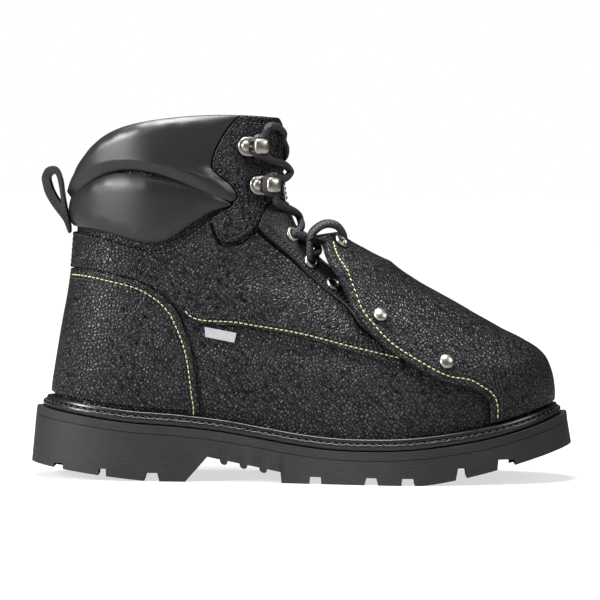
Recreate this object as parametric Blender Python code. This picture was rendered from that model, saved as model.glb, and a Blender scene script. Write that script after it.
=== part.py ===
"""Metatarsal guard work boot, right foot, standing empty on its sole.

Frame: +X points to the toe, +Y to the medial side, +Z up, metres.
The upper is one skin, worked out from a table of tilted rings. Every panel, pad and guard is
a patch of that skin between two offsets, so the pieces follow the same last.
"""

import math

import bmesh
import bpy
import numpy as np
from mathutils import Matrix, Vector

for item in list(bpy.data.objects):
    bpy.data.objects.remove(item, do_unlink=True)

# Main sizes
FOOT_LENGTH = 0.283
FOOT_BACK = -0.1425
BOOT_HEIGHT = 0.2085
HEEL_STACK = 0.0315
SHAFT = BOOT_HEIGHT - HEEL_STACK
HEEL_WIDTH = 0.061
WAIST_WIDTH = 0.058
BALL_WIDTH = 0.092
SOLE_LENGTH = 0.3105
SOLE_BACK = -0.156
WALL = 0.0024
GAP = 0.0003

# Sole sizes
WELT_SIDE = 0.0066
WELT_END = 0.0074
WELT_HIGH = 0.0074
LEDGE_SIDE = 0.0018
LEDGE_END = 0.0034
FLARE_SIDE = 0.0012
FLARE_END = 0.0029
MIDSOLE_THICK = 0.0047
HEEL_LIFT = 0.0085
HEEL_LIFT_END = 0.23
TOE_SPRING = 0.0215
TOE_SPRING_START = 0.714
BREAST_START = 0.288
BREAST_END = 0.328
SHANK_END = 0.4615
FORE_START = 0.468
SHANK_BACK = 0.0142
SHANK_FRONT = 0.0063
RIB_DEPTH = 0.0025
RIB_HALF = 0.0075
LUG_DEPTH = 0.005
LUG_REACH = 0.021
CHANNEL = 0.004
INSOLE_THICK = 0.0035

# Leather and padding
PANEL = 0.0012
FACING = 0.0027
PAD_EDGE = 0.0015
PAD_BULGE = 0.0045
PAD_LOW_BULGE = 0.0023
TONGUE_THICK = 0.0042
TONGUE_SINK = 0.0045
GUARD_TOE = 0.0023
GUARD_STIFF = 0.0042
GUARD_LIE = 0.0031
TAG_THICK = 0.0006

# Hardware and lace
EYELET_RADIUS = 0.0045
EYELET_HOLE = 0.0025
EYELET_RISE = 0.0009
RIVET_RADIUS = 0.00425
HOOK_LENGTH = 0.017
HOOK_WIDTH = 0.011
HOOK_BUTTON = 0.0046
LACE_RADIUS = 0.0021
LOOP_WIDTH = 0.020
LOOP_SHIFT = 0.0006

# Ring table of the skin, bottom to top: shares of FOOT_LENGTH, SHAFT and the three widths
RING_COLUMNS = (
    "back_x", "back_up", "front_x", "front_up", "follow", "heel", "waist", "ball",
    "front_cap", "back_cap", "nose", "skew", "crest", "gap",
)
RINGS = np.array([
    (0.0000, 0.000, 1.0000, 0.000, 1.00, 0.500, 0.500, 0.500, 0.34, 0.15, 1.00, 1.0, 0.000, 0.0),
    (-.0030, 0.041, 1.0035, 0.055, 0.95, 0.531, 0.534, 0.522, 0.34, 0.15, 1.00, 1.0, 0.000, 0.0),
    (-.0020, 0.082, 1.0030, 0.102, 0.85, 0.552, 0.566, 0.536, 0.34, 0.15, 1.00, 1.0, 0.000, 0.0),
    (0.0035, 0.150, 0.9960, 0.159, 0.70, 0.570, 0.590, 0.543, 0.34, 0.15, 1.00, 1.0, 0.000, 0.0),
    (0.0090, 0.215, 0.9810, 0.212, 0.50, 0.574, 0.603, 0.538, 0.36, 0.15, 1.00, 1.0, 0.000, 0.0),
    (0.0140, 0.272, 0.9490, 0.255, 0.35, 0.574, 0.612, 0.516, 0.38, 0.15, 1.00, 0.8, 0.000, 0.0),
    (0.0195, 0.329, 0.8990, 0.288, 0.20, 0.574, 0.621, 0.489, 0.42, 0.16, 0.83, 0.5, 0.000, 0.0),
    (0.0255, 0.384, 0.8390, 0.321, 0.10, 0.570, 0.624, 0.462, 0.46, 0.17, 0.67, 0.3, 0.000, 0.0),
    (0.0300, 0.431, 0.7760, 0.353, 0.05, 0.566, 0.629, 0.440, 0.50, 0.185, 0.50, 0.0, 0.000, 0.0),
    (0.0336, 0.477, 0.7085, 0.379, 0.00, 0.562, 0.629, 0.424, 0.50, 0.20, 0.33, 0.0, 0.000, 0.0),
    (0.0364, 0.523, 0.6450, 0.415, 0.00, 0.562, 0.629, 0.413, 0.50, 0.22, 0.17, 0.0, 0.000, 0.22),
    (0.0380, 0.562, 0.5810, 0.472, 0.00, 0.567, 0.633, 0.402, 0.50, 0.25, 0.00, 0.0, 0.000, 0.33),
    (0.0400, 0.602, 0.5350, 0.537, 0.00, 0.577, 0.641, 0.399, 0.50, 0.30, 0.00, 0.0, 0.000, 0.37),
    (0.0406, 0.641, 0.4980, 0.624, 0.00, 0.590, 0.655, 0.397, 0.50, 0.34, 0.00, 0.0, 0.011, 0.39),
    (0.0406, 0.681, 0.4790, 0.715, 0.00, 0.603, 0.672, 0.397, 0.50, 0.36, 0.00, 0.0, 0.040, 0.40),
    (0.0406, 0.715, 0.4700, 0.811, 0.00, 0.611, 0.681, 0.397, 0.50, 0.38, 0.00, 0.0, 0.079, 0.40),
    (0.0406, 0.743, 0.4680, 0.901, 0.00, 0.611, 0.681, 0.391, 0.50, 0.39, 0.00, 0.0, 0.113, 0.40),
    (0.0406, 0.766, 0.4680, 0.980, 0.00, 0.607, 0.672, 0.386, 0.50, 0.40, 0.00, 0.0, 0.147, 0.40),
])
TOP = len(RINGS) - 1
COL = {name: index for index, name in enumerate(RING_COLUMNS)}
NOSE_SHIFT = 0.006
WAIST_SKEW = 0.0025
WIDE_AT = {"heel": 0.15, "waist": 0.37, "ball": 0.73}

# Sole top line: share along the sole, share of HEEL_STACK
SOLE_TOP = np.array([
    (0.00, 1.286), (0.08, 1.168), (0.18, 1.038), (0.28, 0.965), (0.35, 0.889), (0.42, 0.775),
    (0.49, 0.662), (0.55, 0.600), (0.62, 0.584), (0.70, 0.616), (0.78, 0.712), (0.86, 0.857),
    (0.93, 1.048), (1.00, 1.286),
])

# Panel outlines in side view: share along FOOT_LENGTH, share up SHAFT. Neighbours share a line.
COUNTER_TOP = (
    (0.0420, 0.4945), (0.0629, 0.4949), (0.1233, 0.4774), (0.1813, 0.4514), (0.2194, 0.4153),
    (0.2463, 0.3701),
)
COUNTER_FRONT = (
    (0.2463, 0.3701), (0.2657, 0.3034), (0.2813, 0.2249), (0.2898, 0.1395), (0.2975, 0.062),
)
VAMP_SEAM = (
    (0.2463, 0.3701), (0.2608, 0.3430), (0.3739, 0.3090), (0.4958, 0.2780), (0.6018, 0.2362),
    (0.6500, 0.2180), (0.7000, 0.2000),
)
COLLAR_LOW = (
    (0.0495, 0.6130), (0.0947, 0.6000), (0.1420, 0.5780), (0.1989, 0.5600), (0.2339, 0.5695),
    (0.2753, 0.6164), (0.3131, 0.6633),
)
COLLAR_TIP = ((0.3131, 0.6633), (0.3548, 0.7028))
COLLAR_DIVIDE = (
    (0.0760, 0.7825), (0.1219, 0.8181), (0.1597, 0.8232), (0.2166, 0.8040), (0.2739, 0.7672),
    (0.3392, 0.7200), (0.3490, 0.7125),
)
COLLAR_DIVIDE_BACK = 0.7294
COLLAR_FRONT = (
    (0.3548, 0.7028), (0.3560, 0.7100), (0.3640, 0.7282), (0.3544, 0.7638), (0.3304, 0.7955),
    (0.3134, 0.8260), (0.3155, 0.8559), (0.3304, 0.9124), (0.3534, 0.9661),
    (0.3710, 0.9972),
)
HOOK_LOW = (
    (0.3131, 0.6633), (0.3177, 0.6379), (0.3322, 0.5921), (0.3481, 0.5831), (0.3622, 0.5876),
    (0.4042, 0.6356),
)
HOOK_FORE = ((0.4042, 0.6356), (0.4205, 0.7006), (0.4435, 0.7328))
EYESTAY = ((0.4042, 0.6356), (0.4852, 0.5136), (0.5466, 0.4237), (0.6187, 0.3113), (0.6290, 0.2995))
QUARTER_UNDER = ((0.6290, 0.2995), (0.6620, 0.2590), (0.6980, 0.2160))
GUARD_SIDE = (
    (0.8749, 0.0900), (0.8693, 0.0950), (0.8548, 0.1119), (0.8339, 0.1311), (0.7890, 0.1458),
    (0.7442, 0.1785), (0.7035, 0.2164), (0.6625, 0.2582), (0.6353, 0.3006), (0.6007, 0.3757),
    (0.5696, 0.4989), (0.5430, 0.6000),
)
TAG_CORNERS = ((0.3042, 0.2830), (0.3028, 0.3190), (0.3688, 0.2990), (0.3636, 0.2644))
EYELET_SPOTS = ((0.4788, 0.6130), (0.5152, 0.5271), (0.5608, 0.4582))
HOOK_SPOTS = ((0.3942, 0.8920), (0.4175, 0.7690))
GUARD_RIVET_SPOTS = ((0.6534, 0.3621), (0.7855, 0.2158))

# Lace that ties the guard down, from its eyelet to the middle: shares of FOOT_LENGTH,
# WAIST_WIDTH and SHAFT
TIE_PATH = (
    (0.5560, 0.370, 0.6600), (0.5400, 0.380, 0.6680), (0.5260, 0.375, 0.6480), (0.5200, 0.310, 0.6200),
    (0.5200, 0.200, 0.6115), (0.5210, 0.000, 0.6075),
)

# Guard stand-off on the ridge above the skin, ring by ring, in shares of GUARD_RISE
GUARD_RISE = 0.0195
GUARD_TABLE = (
    0.0, 0.0, 0.0, 0.0, 0.0, 0.0, 0.105, 0.29, 0.52, 0.82, 1.12, 1.06, 0.91, 0.82, 0.75, 0.75,
    0.75, 0.75,
)
GUARD_SIDE_TABLE = (
    0.0, 0.0, 0.0, 0.0, 0.04, 0.13, 0.28, 0.43, 0.53, 0.62, 0.70, 0.66, 0.55, 0.50, 0.5, 0.5,
    0.5, 0.5,
)
GUARD_SPREAD = 1.15
GUARD_END = 12.60
GUARD_END_HALF = 0.62

# Side cuts in the tread: share along the sole (start, end), share of LUG_DEPTH, share of flat top
SIDE_CUTS = (
    (0.045, 0.065, 0.60, 0.8), (0.129, 0.145, 0.80, 0.8), (0.210, 0.245, 0.96, 0.55),
    (0.513, 0.537, 0.80, 0.8), (0.610, 0.642, 0.82, 0.55), (0.679, 0.706, 0.80, 0.8),
    (0.775, 0.804, 1.20, 0.45), (0.851, 0.893, 0.90, 0.7),
)
CROSS_CUTS = (0.525, 0.575, 0.626, 0.692, 0.740, 0.790, 0.872)
HEEL_CROSS = (0.137, 0.227)
RIBS = (0.358, 0.394, 0.430)
FORE_CHANNEL = (0.490, 0.915)
HEEL_CHANNEL = (0.075, 0.268)

# Colours, as linear red, green and blue, then metallic and roughness
BLACK_LEATHER = (0.012, 0.012, 0.013, 0.0, 0.5)
SMOOTH_LEATHER = (0.018, 0.018, 0.020, 0.0, 0.42)
PAD_LEATHER = (0.035, 0.035, 0.038, 0.0, 0.4)
TREAD_RUBBER = (0.030, 0.029, 0.032, 0.0, 0.75)
LIGHT_RUBBER = (0.050, 0.048, 0.050, 0.0, 0.75)
WELT_RUBBER = (0.012, 0.012, 0.013, 0.0, 0.35)
INSOLE_CLOTH = (0.045, 0.045, 0.048, 0.0, 0.9)
BLACK_CLOTH = (0.010, 0.010, 0.011, 0.0, 0.9)
GREY_CLOTH = (0.35, 0.36, 0.37, 0.0, 0.8)
NICKEL = (0.62, 0.60, 0.57, 1.0, 0.22)


def sole_share(x):
    """Share along the sole at a place x."""
    return (x - SOLE_BACK) / SOLE_LENGTH


def smooth_table(table, at):
    """Smooth value of a two column table."""
    xs = table[:, 0]
    ys = table[:, 1]
    slope = np.gradient(ys, xs)
    at = np.clip(at, xs[0], xs[-1])
    index = np.clip(np.searchsorted(xs, at, side="right") - 1, 0, len(xs) - 2)
    span = xs[index + 1] - xs[index]
    f = (at - xs[index]) / span
    a = (2 * f ** 3 - 3 * f ** 2 + 1) * ys[index]
    b = (f ** 3 - 2 * f ** 2 + f) * span * slope[index]
    c = (-2 * f ** 3 + 3 * f ** 2) * ys[index + 1]
    d = (f ** 3 - f ** 2) * span * slope[index + 1]
    return a + b + c + d


def sole_top(x):
    """Height of the sole's top line at a place x."""
    return smooth_table(SOLE_TOP, sole_share(np.asarray(x, float))) * HEEL_STACK


def tread_height(share):
    """Height of the tread line, with heel lift, breast, shank ribs and toe spring."""
    if share < HEEL_LIFT_END:
        return HEEL_LIFT * ((HEEL_LIFT_END - share) / HEEL_LIFT_END) ** 1.2
    if share < BREAST_START:
        return 0.0
    if share < BREAST_END:
        return SHANK_BACK * (share - BREAST_START) / (BREAST_END - BREAST_START)
    if share <= SHANK_END:
        mix = (share - BREAST_END) / (SHANK_END - BREAST_END)
        return SHANK_BACK + (SHANK_FRONT - SHANK_BACK) * mix
    if share < TOE_SPRING_START:
        return 0.0
    return TOE_SPRING * ((share - TOE_SPRING_START) / (1 - TOE_SPRING_START)) ** 1.3


RING_PAD = np.vstack([2 * RINGS[0] - RINGS[1], RINGS, 2 * RINGS[-1] - RINGS[-2]])


def ring_at(level):
    """Ring values at a level between rings."""
    level = np.clip(np.asarray(level, float), 0, TOP)
    index = np.minimum(level.astype(int), TOP - 1)
    f = (level - index)[..., None]
    p0 = RING_PAD[index]
    p1 = RING_PAD[index + 1]
    p2 = RING_PAD[index + 2]
    p3 = RING_PAD[index + 3]
    bend = 2 * p0 - 5 * p1 + 4 * p2 - p3 + f * (3 * (p1 - p2) + p3 - p0)
    return p1 + 0.5 * f * (p2 - p0 + f * bend)


def ease(share):
    share = np.clip(share, 0, 1)
    return share * share * (3 - 2 * share)


def cap(share, power):
    share = np.clip(share, 0, 1)
    return (1 - (1 - share) ** power) ** (1 / power)


def skin_base(turn, level):
    """Point of the skin: turn runs from the back (0) over the lateral side to the front (pi)."""
    turn = np.asarray(turn, float)
    ring = ring_at(level)
    along = (1 - np.cos(turn)) / 2
    x = (ring[..., 0] + (ring[..., 2] - ring[..., 0]) * along) * FOOT_LENGTH + FOOT_BACK
    up = ring[..., 1] + (ring[..., 3] - ring[..., 1]) * along
    crest = ring[..., COL["crest"]] * (1 - (1 - along) ** 12) * (1 - along ** 2)
    z = HEEL_STACK + (up + crest) * SHAFT + (sole_top(x) - HEEL_STACK) * ring[..., 4] + GAP
    heel = ring[..., 5] * HEEL_WIDTH
    waist = ring[..., 6] * WAIST_WIDTH
    ball = ring[..., 7] * BALL_WIDTH
    first = ease((along - WIDE_AT["heel"]) / (WIDE_AT["waist"] - WIDE_AT["heel"]))
    second = ease((along - WIDE_AT["waist"]) / (WIDE_AT["ball"] - WIDE_AT["waist"]))
    width = heel + (waist - heel) * first + (ball - waist) * second
    half = width * cap(along / ring[..., 9], 2.0) * cap((1 - along) / ring[..., 8], 2.25)
    y = -half * np.sign(np.sin(turn))
    y = y + ring[..., 10] * NOSE_SHIFT * along ** 3
    y = y - ring[..., 11] * WAIST_SKEW * np.exp(-((along - 0.40) / 0.16) ** 2)
    return np.stack([x, y, z], axis=-1)


def skin(turn, level, off=0.0):
    """Skin point moved outward by off along the skin's normal."""
    turn = np.asarray(turn, float)
    level = np.asarray(level, float)
    turn, level = np.broadcast_arrays(turn, level)
    here = skin_base(turn, level)
    around = skin_base(turn + 0.03, level) - skin_base(turn - 0.03, level)
    rise = skin_base(turn, level + 0.12) - skin_base(turn, level - 0.12)
    normal = np.cross(around, rise)
    normal /= np.linalg.norm(normal, axis=-1, keepdims=True)
    return here + normal * np.asarray(off, float)[..., None]


def guard_off(turn, level):
    """Height of the guard's outside above the skin."""
    ridge = np.interp(level, range(len(GUARD_TABLE)), GUARD_TABLE)
    edge = np.interp(level, range(len(GUARD_SIDE_TABLE)), GUARD_SIDE_TABLE)
    turn = np.mod(np.asarray(turn, float), 2 * math.pi)
    spread = np.clip(np.abs(turn - math.pi) / GUARD_SPREAD, 0, 1)
    share = edge + (ridge - edge) * np.cos(spread * math.pi / 2)
    return GUARD_LIE + (GUARD_RISE - GUARD_LIE) * share


SEARCH_TURNS = np.linspace(0.0, math.pi, 121)
SEARCH_LEVELS = np.linspace(0.0, TOP, 171)


def locate(spots, off=0.0):
    """Turn and level on the lateral side of points given in side view."""
    spots = np.array(spots, float)
    goal = np.stack([spots[:, 0] * FOOT_LENGTH + FOOT_BACK, spots[:, 1] * SHAFT + HEEL_STACK], -1)
    turns, levels = np.meshgrid(SEARCH_TURNS, SEARCH_LEVELS, indexing="ij")
    lift = off(turns, levels) if callable(off) else off
    field = skin(turns, levels, lift)[..., [0, 2]].reshape(-1, 2)
    near = np.argmin(((goal[:, None, :] - field[None]) ** 2).sum(-1), axis=1)
    place = np.stack([turns.reshape(-1)[near], levels.reshape(-1)[near]], -1)
    for _ in range(12):
        base = flat_view(place, off)
        step_turn = (flat_view(place + [1e-4, 0], off) - base) / 1e-4
        step_level = (flat_view(place + [0, 1e-4], off) - base) / 1e-4
        jac = np.stack([step_turn, step_level], -1)
        left = np.einsum("nij,nik->njk", jac, jac) + np.eye(2) * 1e-8
        right = np.einsum("nij,ni->nj", jac, goal - base)
        move = np.linalg.solve(left, right[..., None])[..., 0]
        place = place + np.clip(move, [-0.1, -0.5], [0.1, 0.5])
        place[:, 0] = np.clip(place[:, 0], 0.0, math.pi)
        place[:, 1] = np.clip(place[:, 1], 0.0, TOP)
    return place


def flat_view(place, off):
    lift = off(place[:, 0], place[:, 1]) if callable(off) else off
    return skin(place[:, 0], place[:, 1], lift)[:, [0, 2]]


def resample(line, count):
    """Line of turn and level pairs, set out again at even steps on the skin."""
    line = np.array(line, float)
    points = skin_base(line[:, 0], line[:, 1])
    gaps = np.linalg.norm(np.diff(points, axis=0), axis=1)
    run = np.concatenate([[0], np.cumsum(gaps)])
    at = np.linspace(0, run[-1], count + 1)
    return np.stack([np.interp(at, run, line[:, 0]), np.interp(at, run, line[:, 1])], -1)


def join(*lines):
    """Lines set end to end, with each shared end point kept once."""
    out = [np.array(lines[0], float)]
    for line in lines[1:]:
        out.append(np.array(line, float)[1:])
    return np.vstack(out)


def mirror(line):
    line = np.array(line, float).copy()
    line[..., 0] = -line[..., 0]
    return line


def run_length(line):
    return np.linalg.norm(np.diff(skin_base(line[:, 0], line[:, 1]), axis=0), axis=1).sum()


def coons(low, right, top, left, inset):
    """Grid of turn and level pairs between four edge lines, drawn in by the inset."""
    across = len(low) - 1
    up = len(left) - 1
    rows = np.linspace(0, 1, up + 1)[None, :]
    columns = np.linspace(0, 1, across + 1)[:, None]
    wide = run_length(low) * (1 - rows) + run_length(top) * rows
    foot = skin_base(low[:, 0], low[:, 1])
    head = skin_base(top[:, 0], top[:, 1])
    high = np.linalg.norm(head - foot, axis=1)[:, None]
    narrow = np.clip(inset / wide, 0, 0.3)
    short = np.clip(inset / high, 0, 0.3)
    u = narrow + (1 - 2 * narrow) * columns
    v = short + (1 - 2 * short) * rows
    grid = np.zeros((across + 1, up + 1, 2))
    for k in (0, 1):
        b = np.interp(u, columns[:, 0], low[:, k])
        t = np.interp(u, columns[:, 0], top[:, k])
        l = np.interp(v, rows[0], left[:, k])
        r = np.interp(v, rows[0], right[:, k])
        corners = (
            (1 - u) * (1 - v) * low[0, k] + u * (1 - v) * low[-1, k]
            + (1 - u) * v * top[0, k] + u * v * top[-1, k]
        )
        grid[:, :, k] = (1 - v) * b + v * t + (1 - u) * l + u * r - corners
    return grid


def material(name, look):
    """One material for one piece."""
    made = bpy.data.materials.new(name)
    made.use_nodes = True
    shader = made.node_tree.nodes["Principled BSDF"]
    shader.inputs["Base Color"].default_value = (look[0], look[1], look[2], 1.0)
    shader.inputs["Metallic"].default_value = look[3]
    shader.inputs["Roughness"].default_value = look[4]
    made.diffuse_color = (look[0], look[1], look[2], 1.0)
    return made


def make(name, points, faces, look):
    """Closed piece from points and faces, with its normals turned outward."""
    mesh = bpy.data.meshes.new(name)
    mesh.from_pydata([tuple(float(c) for c in p) for p in points], [], faces)
    work = bmesh.new()
    work.from_mesh(mesh)
    bmesh.ops.remove_doubles(work, verts=work.verts, dist=0.00002)
    bmesh.ops.dissolve_degenerate(work, edges=work.edges, dist=0.00001)
    bmesh.ops.recalc_face_normals(work, faces=work.faces)
    if work.calc_volume(signed=True) < 0:
        bmesh.ops.reverse_faces(work, faces=work.faces)
    work.to_mesh(mesh)
    work.free()
    piece = bpy.data.objects.new(name, mesh)
    bpy.context.collection.objects.link(piece)
    if look is not None:
        mesh.materials.append(material(name, look))
    return piece


def between(name, inner, outer, look):
    """Closed piece between two grids of points of the same size."""
    across, up = inner.shape[0], inner.shape[1]
    size = across * up
    points = np.concatenate([inner.reshape(-1, 3), outer.reshape(-1, 3)])
    faces = []
    for i in range(across - 1):
        for j in range(up - 1):
            a = i * up + j
            b = (i + 1) * up + j
            faces.append((a, a + 1, b + 1, b))
            faces.append((size + a, size + b, size + b + 1, size + a + 1))
    rim = [i * up for i in range(across)]
    rim += [(across - 1) * up + j for j in range(1, up)]
    rim += [i * up + up - 1 for i in range(across - 2, -1, -1)]
    rim += [j for j in range(up - 2, 0, -1)]
    for k, a in enumerate(rim):
        b = rim[(k + 1) % len(rim)]
        faces.append((a, b, size + b, size + a))
    return make(name, points, faces, look)


def panel(name, grid, low, high, look):
    """Patch of the skin between two offsets."""
    low = low(grid[..., 0], grid[..., 1]) if callable(low) else np.full(grid.shape[:2], low)
    high = high(grid[..., 0], grid[..., 1]) if callable(high) else np.full(grid.shape[:2], high)
    inner = skin(grid[..., 0], grid[..., 1], low)
    outer = skin(grid[..., 0], grid[..., 1], high)
    return between(name, inner, outer, look)


def padded(name, grid, low, edge, bulge, look):
    """Patch of the skin that swells between its edges."""
    across, up = grid.shape[0], grid.shape[1]
    u = np.linspace(-1, 1, across)[:, None]
    v = np.linspace(-1, 1, up)[None, :]
    swell = (1 - u ** 6) * (1 - np.abs(v) ** 2.6)
    inner = skin(grid[..., 0], grid[..., 1], np.full(grid.shape[:2], low))
    outer = skin(grid[..., 0], grid[..., 1], low + edge + bulge * swell)
    return between(name, inner, outer, look)


# Upper: hollow shell with a real wall, open at the collar, at the throat and underneath
UPPER_COLUMNS = 18
UPPER_LEVELS = [0, 1, 1.8, 2.6, 3.6, 4.8, 6.2, 7.6, 9, 9.7, 10.4, 11.1, 11.8, 12.5, 13.2, 14, 15, 16, 17]
upper_points = []
upper_index = {}
for k, level in enumerate(UPPER_LEVELS):
    open_by = float(ring_at(level)[COL["gap"]]) if level > 9 else 0.0
    for side in (1, -1):
        for i in range(UPPER_COLUMNS + 1):
            turn = (math.pi - open_by) * i / UPPER_COLUMNS
            if side < 0 and (i == 0 or (i == UPPER_COLUMNS and open_by == 0)):
                upper_index[(side, i, k)] = upper_index[(1, i, k)]
                continue
            upper_index[(side, i, k)] = len(upper_points)
            upper_points.append((side * turn, level))
upper_turns = np.array([p[0] for p in upper_points])
upper_levels = np.array([p[1] for p in upper_points])
upper_outer = skin(upper_turns, upper_levels, np.zeros(len(upper_points)))
upper_inner = skin(upper_turns, upper_levels, np.full(len(upper_points), -WALL))
upper_inner[upper_levels == 0, 2] = upper_outer[upper_levels == 0, 2]
upper_size = len(upper_points)
upper_faces = []
for k in range(len(UPPER_LEVELS) - 1):
    for side in (1, -1):
        for i in range(UPPER_COLUMNS):
            a = upper_index[(side, i, k)]
            b = upper_index[(side, i + 1, k)]
            c = upper_index[(side, i + 1, k + 1)]
            d = upper_index[(side, i, k + 1)]
            upper_faces.append((a, b, c, d) if side > 0 else (a, d, c, b))
            e = [upper_size + n for n in (a, b, c, d)]
            upper_faces.append((e[0], e[3], e[2], e[1]) if side > 0 else (e[0], e[1], e[2], e[3]))
        if UPPER_LEVELS[k + 1] > 9:
            b = upper_index[(side, UPPER_COLUMNS, k)]
            c = upper_index[(side, UPPER_COLUMNS, k + 1)]
            upper_faces.append((b, upper_size + b, upper_size + c, c))
for k in (0, len(UPPER_LEVELS) - 1):
    for side in (1, -1):
        for i in range(UPPER_COLUMNS):
            a = upper_index[(side, i, k)]
            b = upper_index[(side, i + 1, k)]
            upper_faces.append((a, b, upper_size + b, upper_size + a))
make("upper", np.concatenate([upper_outer, upper_inner]), upper_faces, BLACK_LEATHER)


# Outlines of the sole layers: the feather line moved outward, less at the sides than at the ends
def outline(side, end, count=240):
    turns = np.linspace(0, 2 * math.pi, count, endpoint=False)
    line = skin_base(turns, 0.0)[:, :2]
    ahead = skin_base(turns + 0.02, 0.0)[:, :2] - skin_base(turns - 0.02, 0.0)[:, :2]
    normal = np.stack([ahead[:, 1], -ahead[:, 0]], -1)
    normal /= np.linalg.norm(normal, axis=1, keepdims=True)
    reach = side + (end - side) * np.abs(normal[:, :1]) ** 1.5
    return line + normal * reach


def station(line, share):
    """Lateral and medial points of an outline at a share of its length."""
    low = int(np.argmin(line[:, 0]))
    high = int(np.argmax(line[:, 0]))
    x = line[low, 0] + (line[high, 0] - line[low, 0]) * share
    if share <= 0.0:
        return [line[low]] * 2
    if share >= 1.0:
        return [line[high]] * 2
    turn = np.arange(len(line))
    lateral = line[(low + turn) % len(line)][: (high - low) % len(line) + 1]
    medial = line[(low - turn) % len(line)][: (low - high) % len(line) + 1]
    out = []
    for part in (lateral, medial):
        order = np.argsort(part[:, 0])
        out.append(np.array([x, np.interp(x, part[order, 0], part[order, 1])]))
    return out


def strip(name, shares, top_line, low_line, top_height, low_height, look):
    """Closed body lofted along the boot between a top and a low outline."""
    points = []
    for share in shares:
        for line, height in ((top_line, top_height), (low_line, low_height)):
            for spot in station(line, share):
                points.append((spot[0], spot[1], height(share)))
    faces = []
    for k in range(len(shares) - 1):
        a = 4 * k
        b = a + 4
        faces.append((a, b, b + 1, a + 1))
        faces.append((a + 2, a + 3, b + 3, b + 2))
        faces.append((a, a + 2, b + 2, b))
        faces.append((a + 1, b + 1, b + 3, a + 3))
    last = 4 * (len(shares) - 1)
    faces.append((0, 1, 3, 2))
    faces.append((last, last + 2, last + 3, last + 1))
    return make(name, points, faces, look)


def line_x(line, share):
    return line[:, 0].min() + (line[:, 0].max() - line[:, 0].min()) * share


def under_midsole(share):
    return float(sole_top(line_x(MID_LINE, share))) - MIDSOLE_THICK


ENDS = [0, 0.002, 0.007, 0.016, 0.03, 0.05, 0.075, 0.105]
PLAIN_SHARES = ENDS + list(np.linspace(0.15, 0.85, 15)) + [1 - e for e in reversed(ENDS)]
TOP_LINE = outline(WELT_SIDE + LEDGE_SIDE, WELT_END + LEDGE_END)
MID_LINE = outline(WELT_SIDE + LEDGE_SIDE + FLARE_SIDE * 0.2, WELT_END + LEDGE_END + FLARE_END * 0.2)
LOW_LINE = outline(WELT_SIDE + LEDGE_SIDE + FLARE_SIDE, WELT_END + LEDGE_END + FLARE_END)
strip(
    "midsole", PLAIN_SHARES, TOP_LINE, MID_LINE,
    lambda share: float(sole_top(line_x(TOP_LINE, share))), under_midsole, LIGHT_RUBBER,
)
INSOLE_LINE = outline(-WALL - 2 * GAP, -WALL - 2 * GAP)


def insole_floor(share):
    return float(sole_top(line_x(INSOLE_LINE, share))) + GAP


strip(
    "insole", PLAIN_SHARES, INSOLE_LINE, INSOLE_LINE,
    lambda share: insole_floor(share) + INSOLE_THICK, insole_floor, INSOLE_CLOTH,
)

# Outsole: heel, breast, ribbed shank, forefoot and toe spring in one strip, then cut into lugs
rib_shape = ((-1.0, 0.0), (-0.45, 0.85), (0.0, 1.0), (0.45, 0.85), (1.0, 0.0))
rib_drops = {}
for centre in RIBS:
    for step, drop in rib_shape:
        rib_drops[round(centre + step * RIB_HALF, 5)] = drop * RIB_DEPTH
low_shares = sorted(set(
    ENDS + [0.14, 0.185, HEEL_LIFT_END, 0.26, BREAST_START, BREAST_START + 0.02, BREAST_END]
    + list(rib_drops) + [SHANK_END, FORE_START]
    + [0.55, 0.63, TOE_SPRING_START, 0.75, 0.79, 0.83, 0.865]
    + [1 - e for e in ENDS]
))


def outsole_low(share):
    return tread_height(share) - rib_drops.get(round(share, 5), 0.0)


outsole = strip(
    "outsole", low_shares, MID_LINE, LOW_LINE,
    lambda share: under_midsole(share) - GAP, outsole_low, TREAD_RUBBER,
)


def cutter(name, points, faces):
    tool = make(name, points, faces, None)
    tool.hide_render = True
    tool.display_type = "WIRE"
    return tool


BOX_FACES = [(0, 1, 2, 3), (7, 6, 5, 4), (0, 4, 5, 1), (1, 5, 6, 2), (2, 6, 7, 3), (3, 7, 4, 0)]


def prism(name, sections):
    """Cutter from two four-point sections."""
    return cutter(name, list(sections[0]) + list(sections[1]), BOX_FACES)


def tidy(mesh):
    """Close points that a cut or a join leaves almost on top of each other."""
    work = bmesh.new()
    work.from_mesh(mesh)
    bmesh.ops.remove_doubles(work, verts=work.verts, dist=0.000004)
    bmesh.ops.dissolve_degenerate(work, edges=work.edges, dist=0.000002)
    bmesh.ops.triangulate(work, faces=[face for face in work.faces if len(face.verts) > 4])
    work.to_mesh(mesh)
    work.free()


def subtract(target, tool):
    change = target.modifiers.new("cut", "BOOLEAN")
    change.operation = "DIFFERENCE"
    change.solver = "EXACT"
    change.object = tool
    bpy.context.view_layer.update()
    depsgraph = bpy.context.evaluated_depsgraph_get()
    cut = bpy.data.meshes.new_from_object(target.evaluated_get(depsgraph))
    target.modifiers.clear()
    tidy(cut)
    old = target.data
    target.data = cut
    bpy.data.meshes.remove(old)
    bpy.data.objects.remove(tool, do_unlink=True)


def low_x(share):
    return line_x(LOW_LINE, share)


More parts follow.
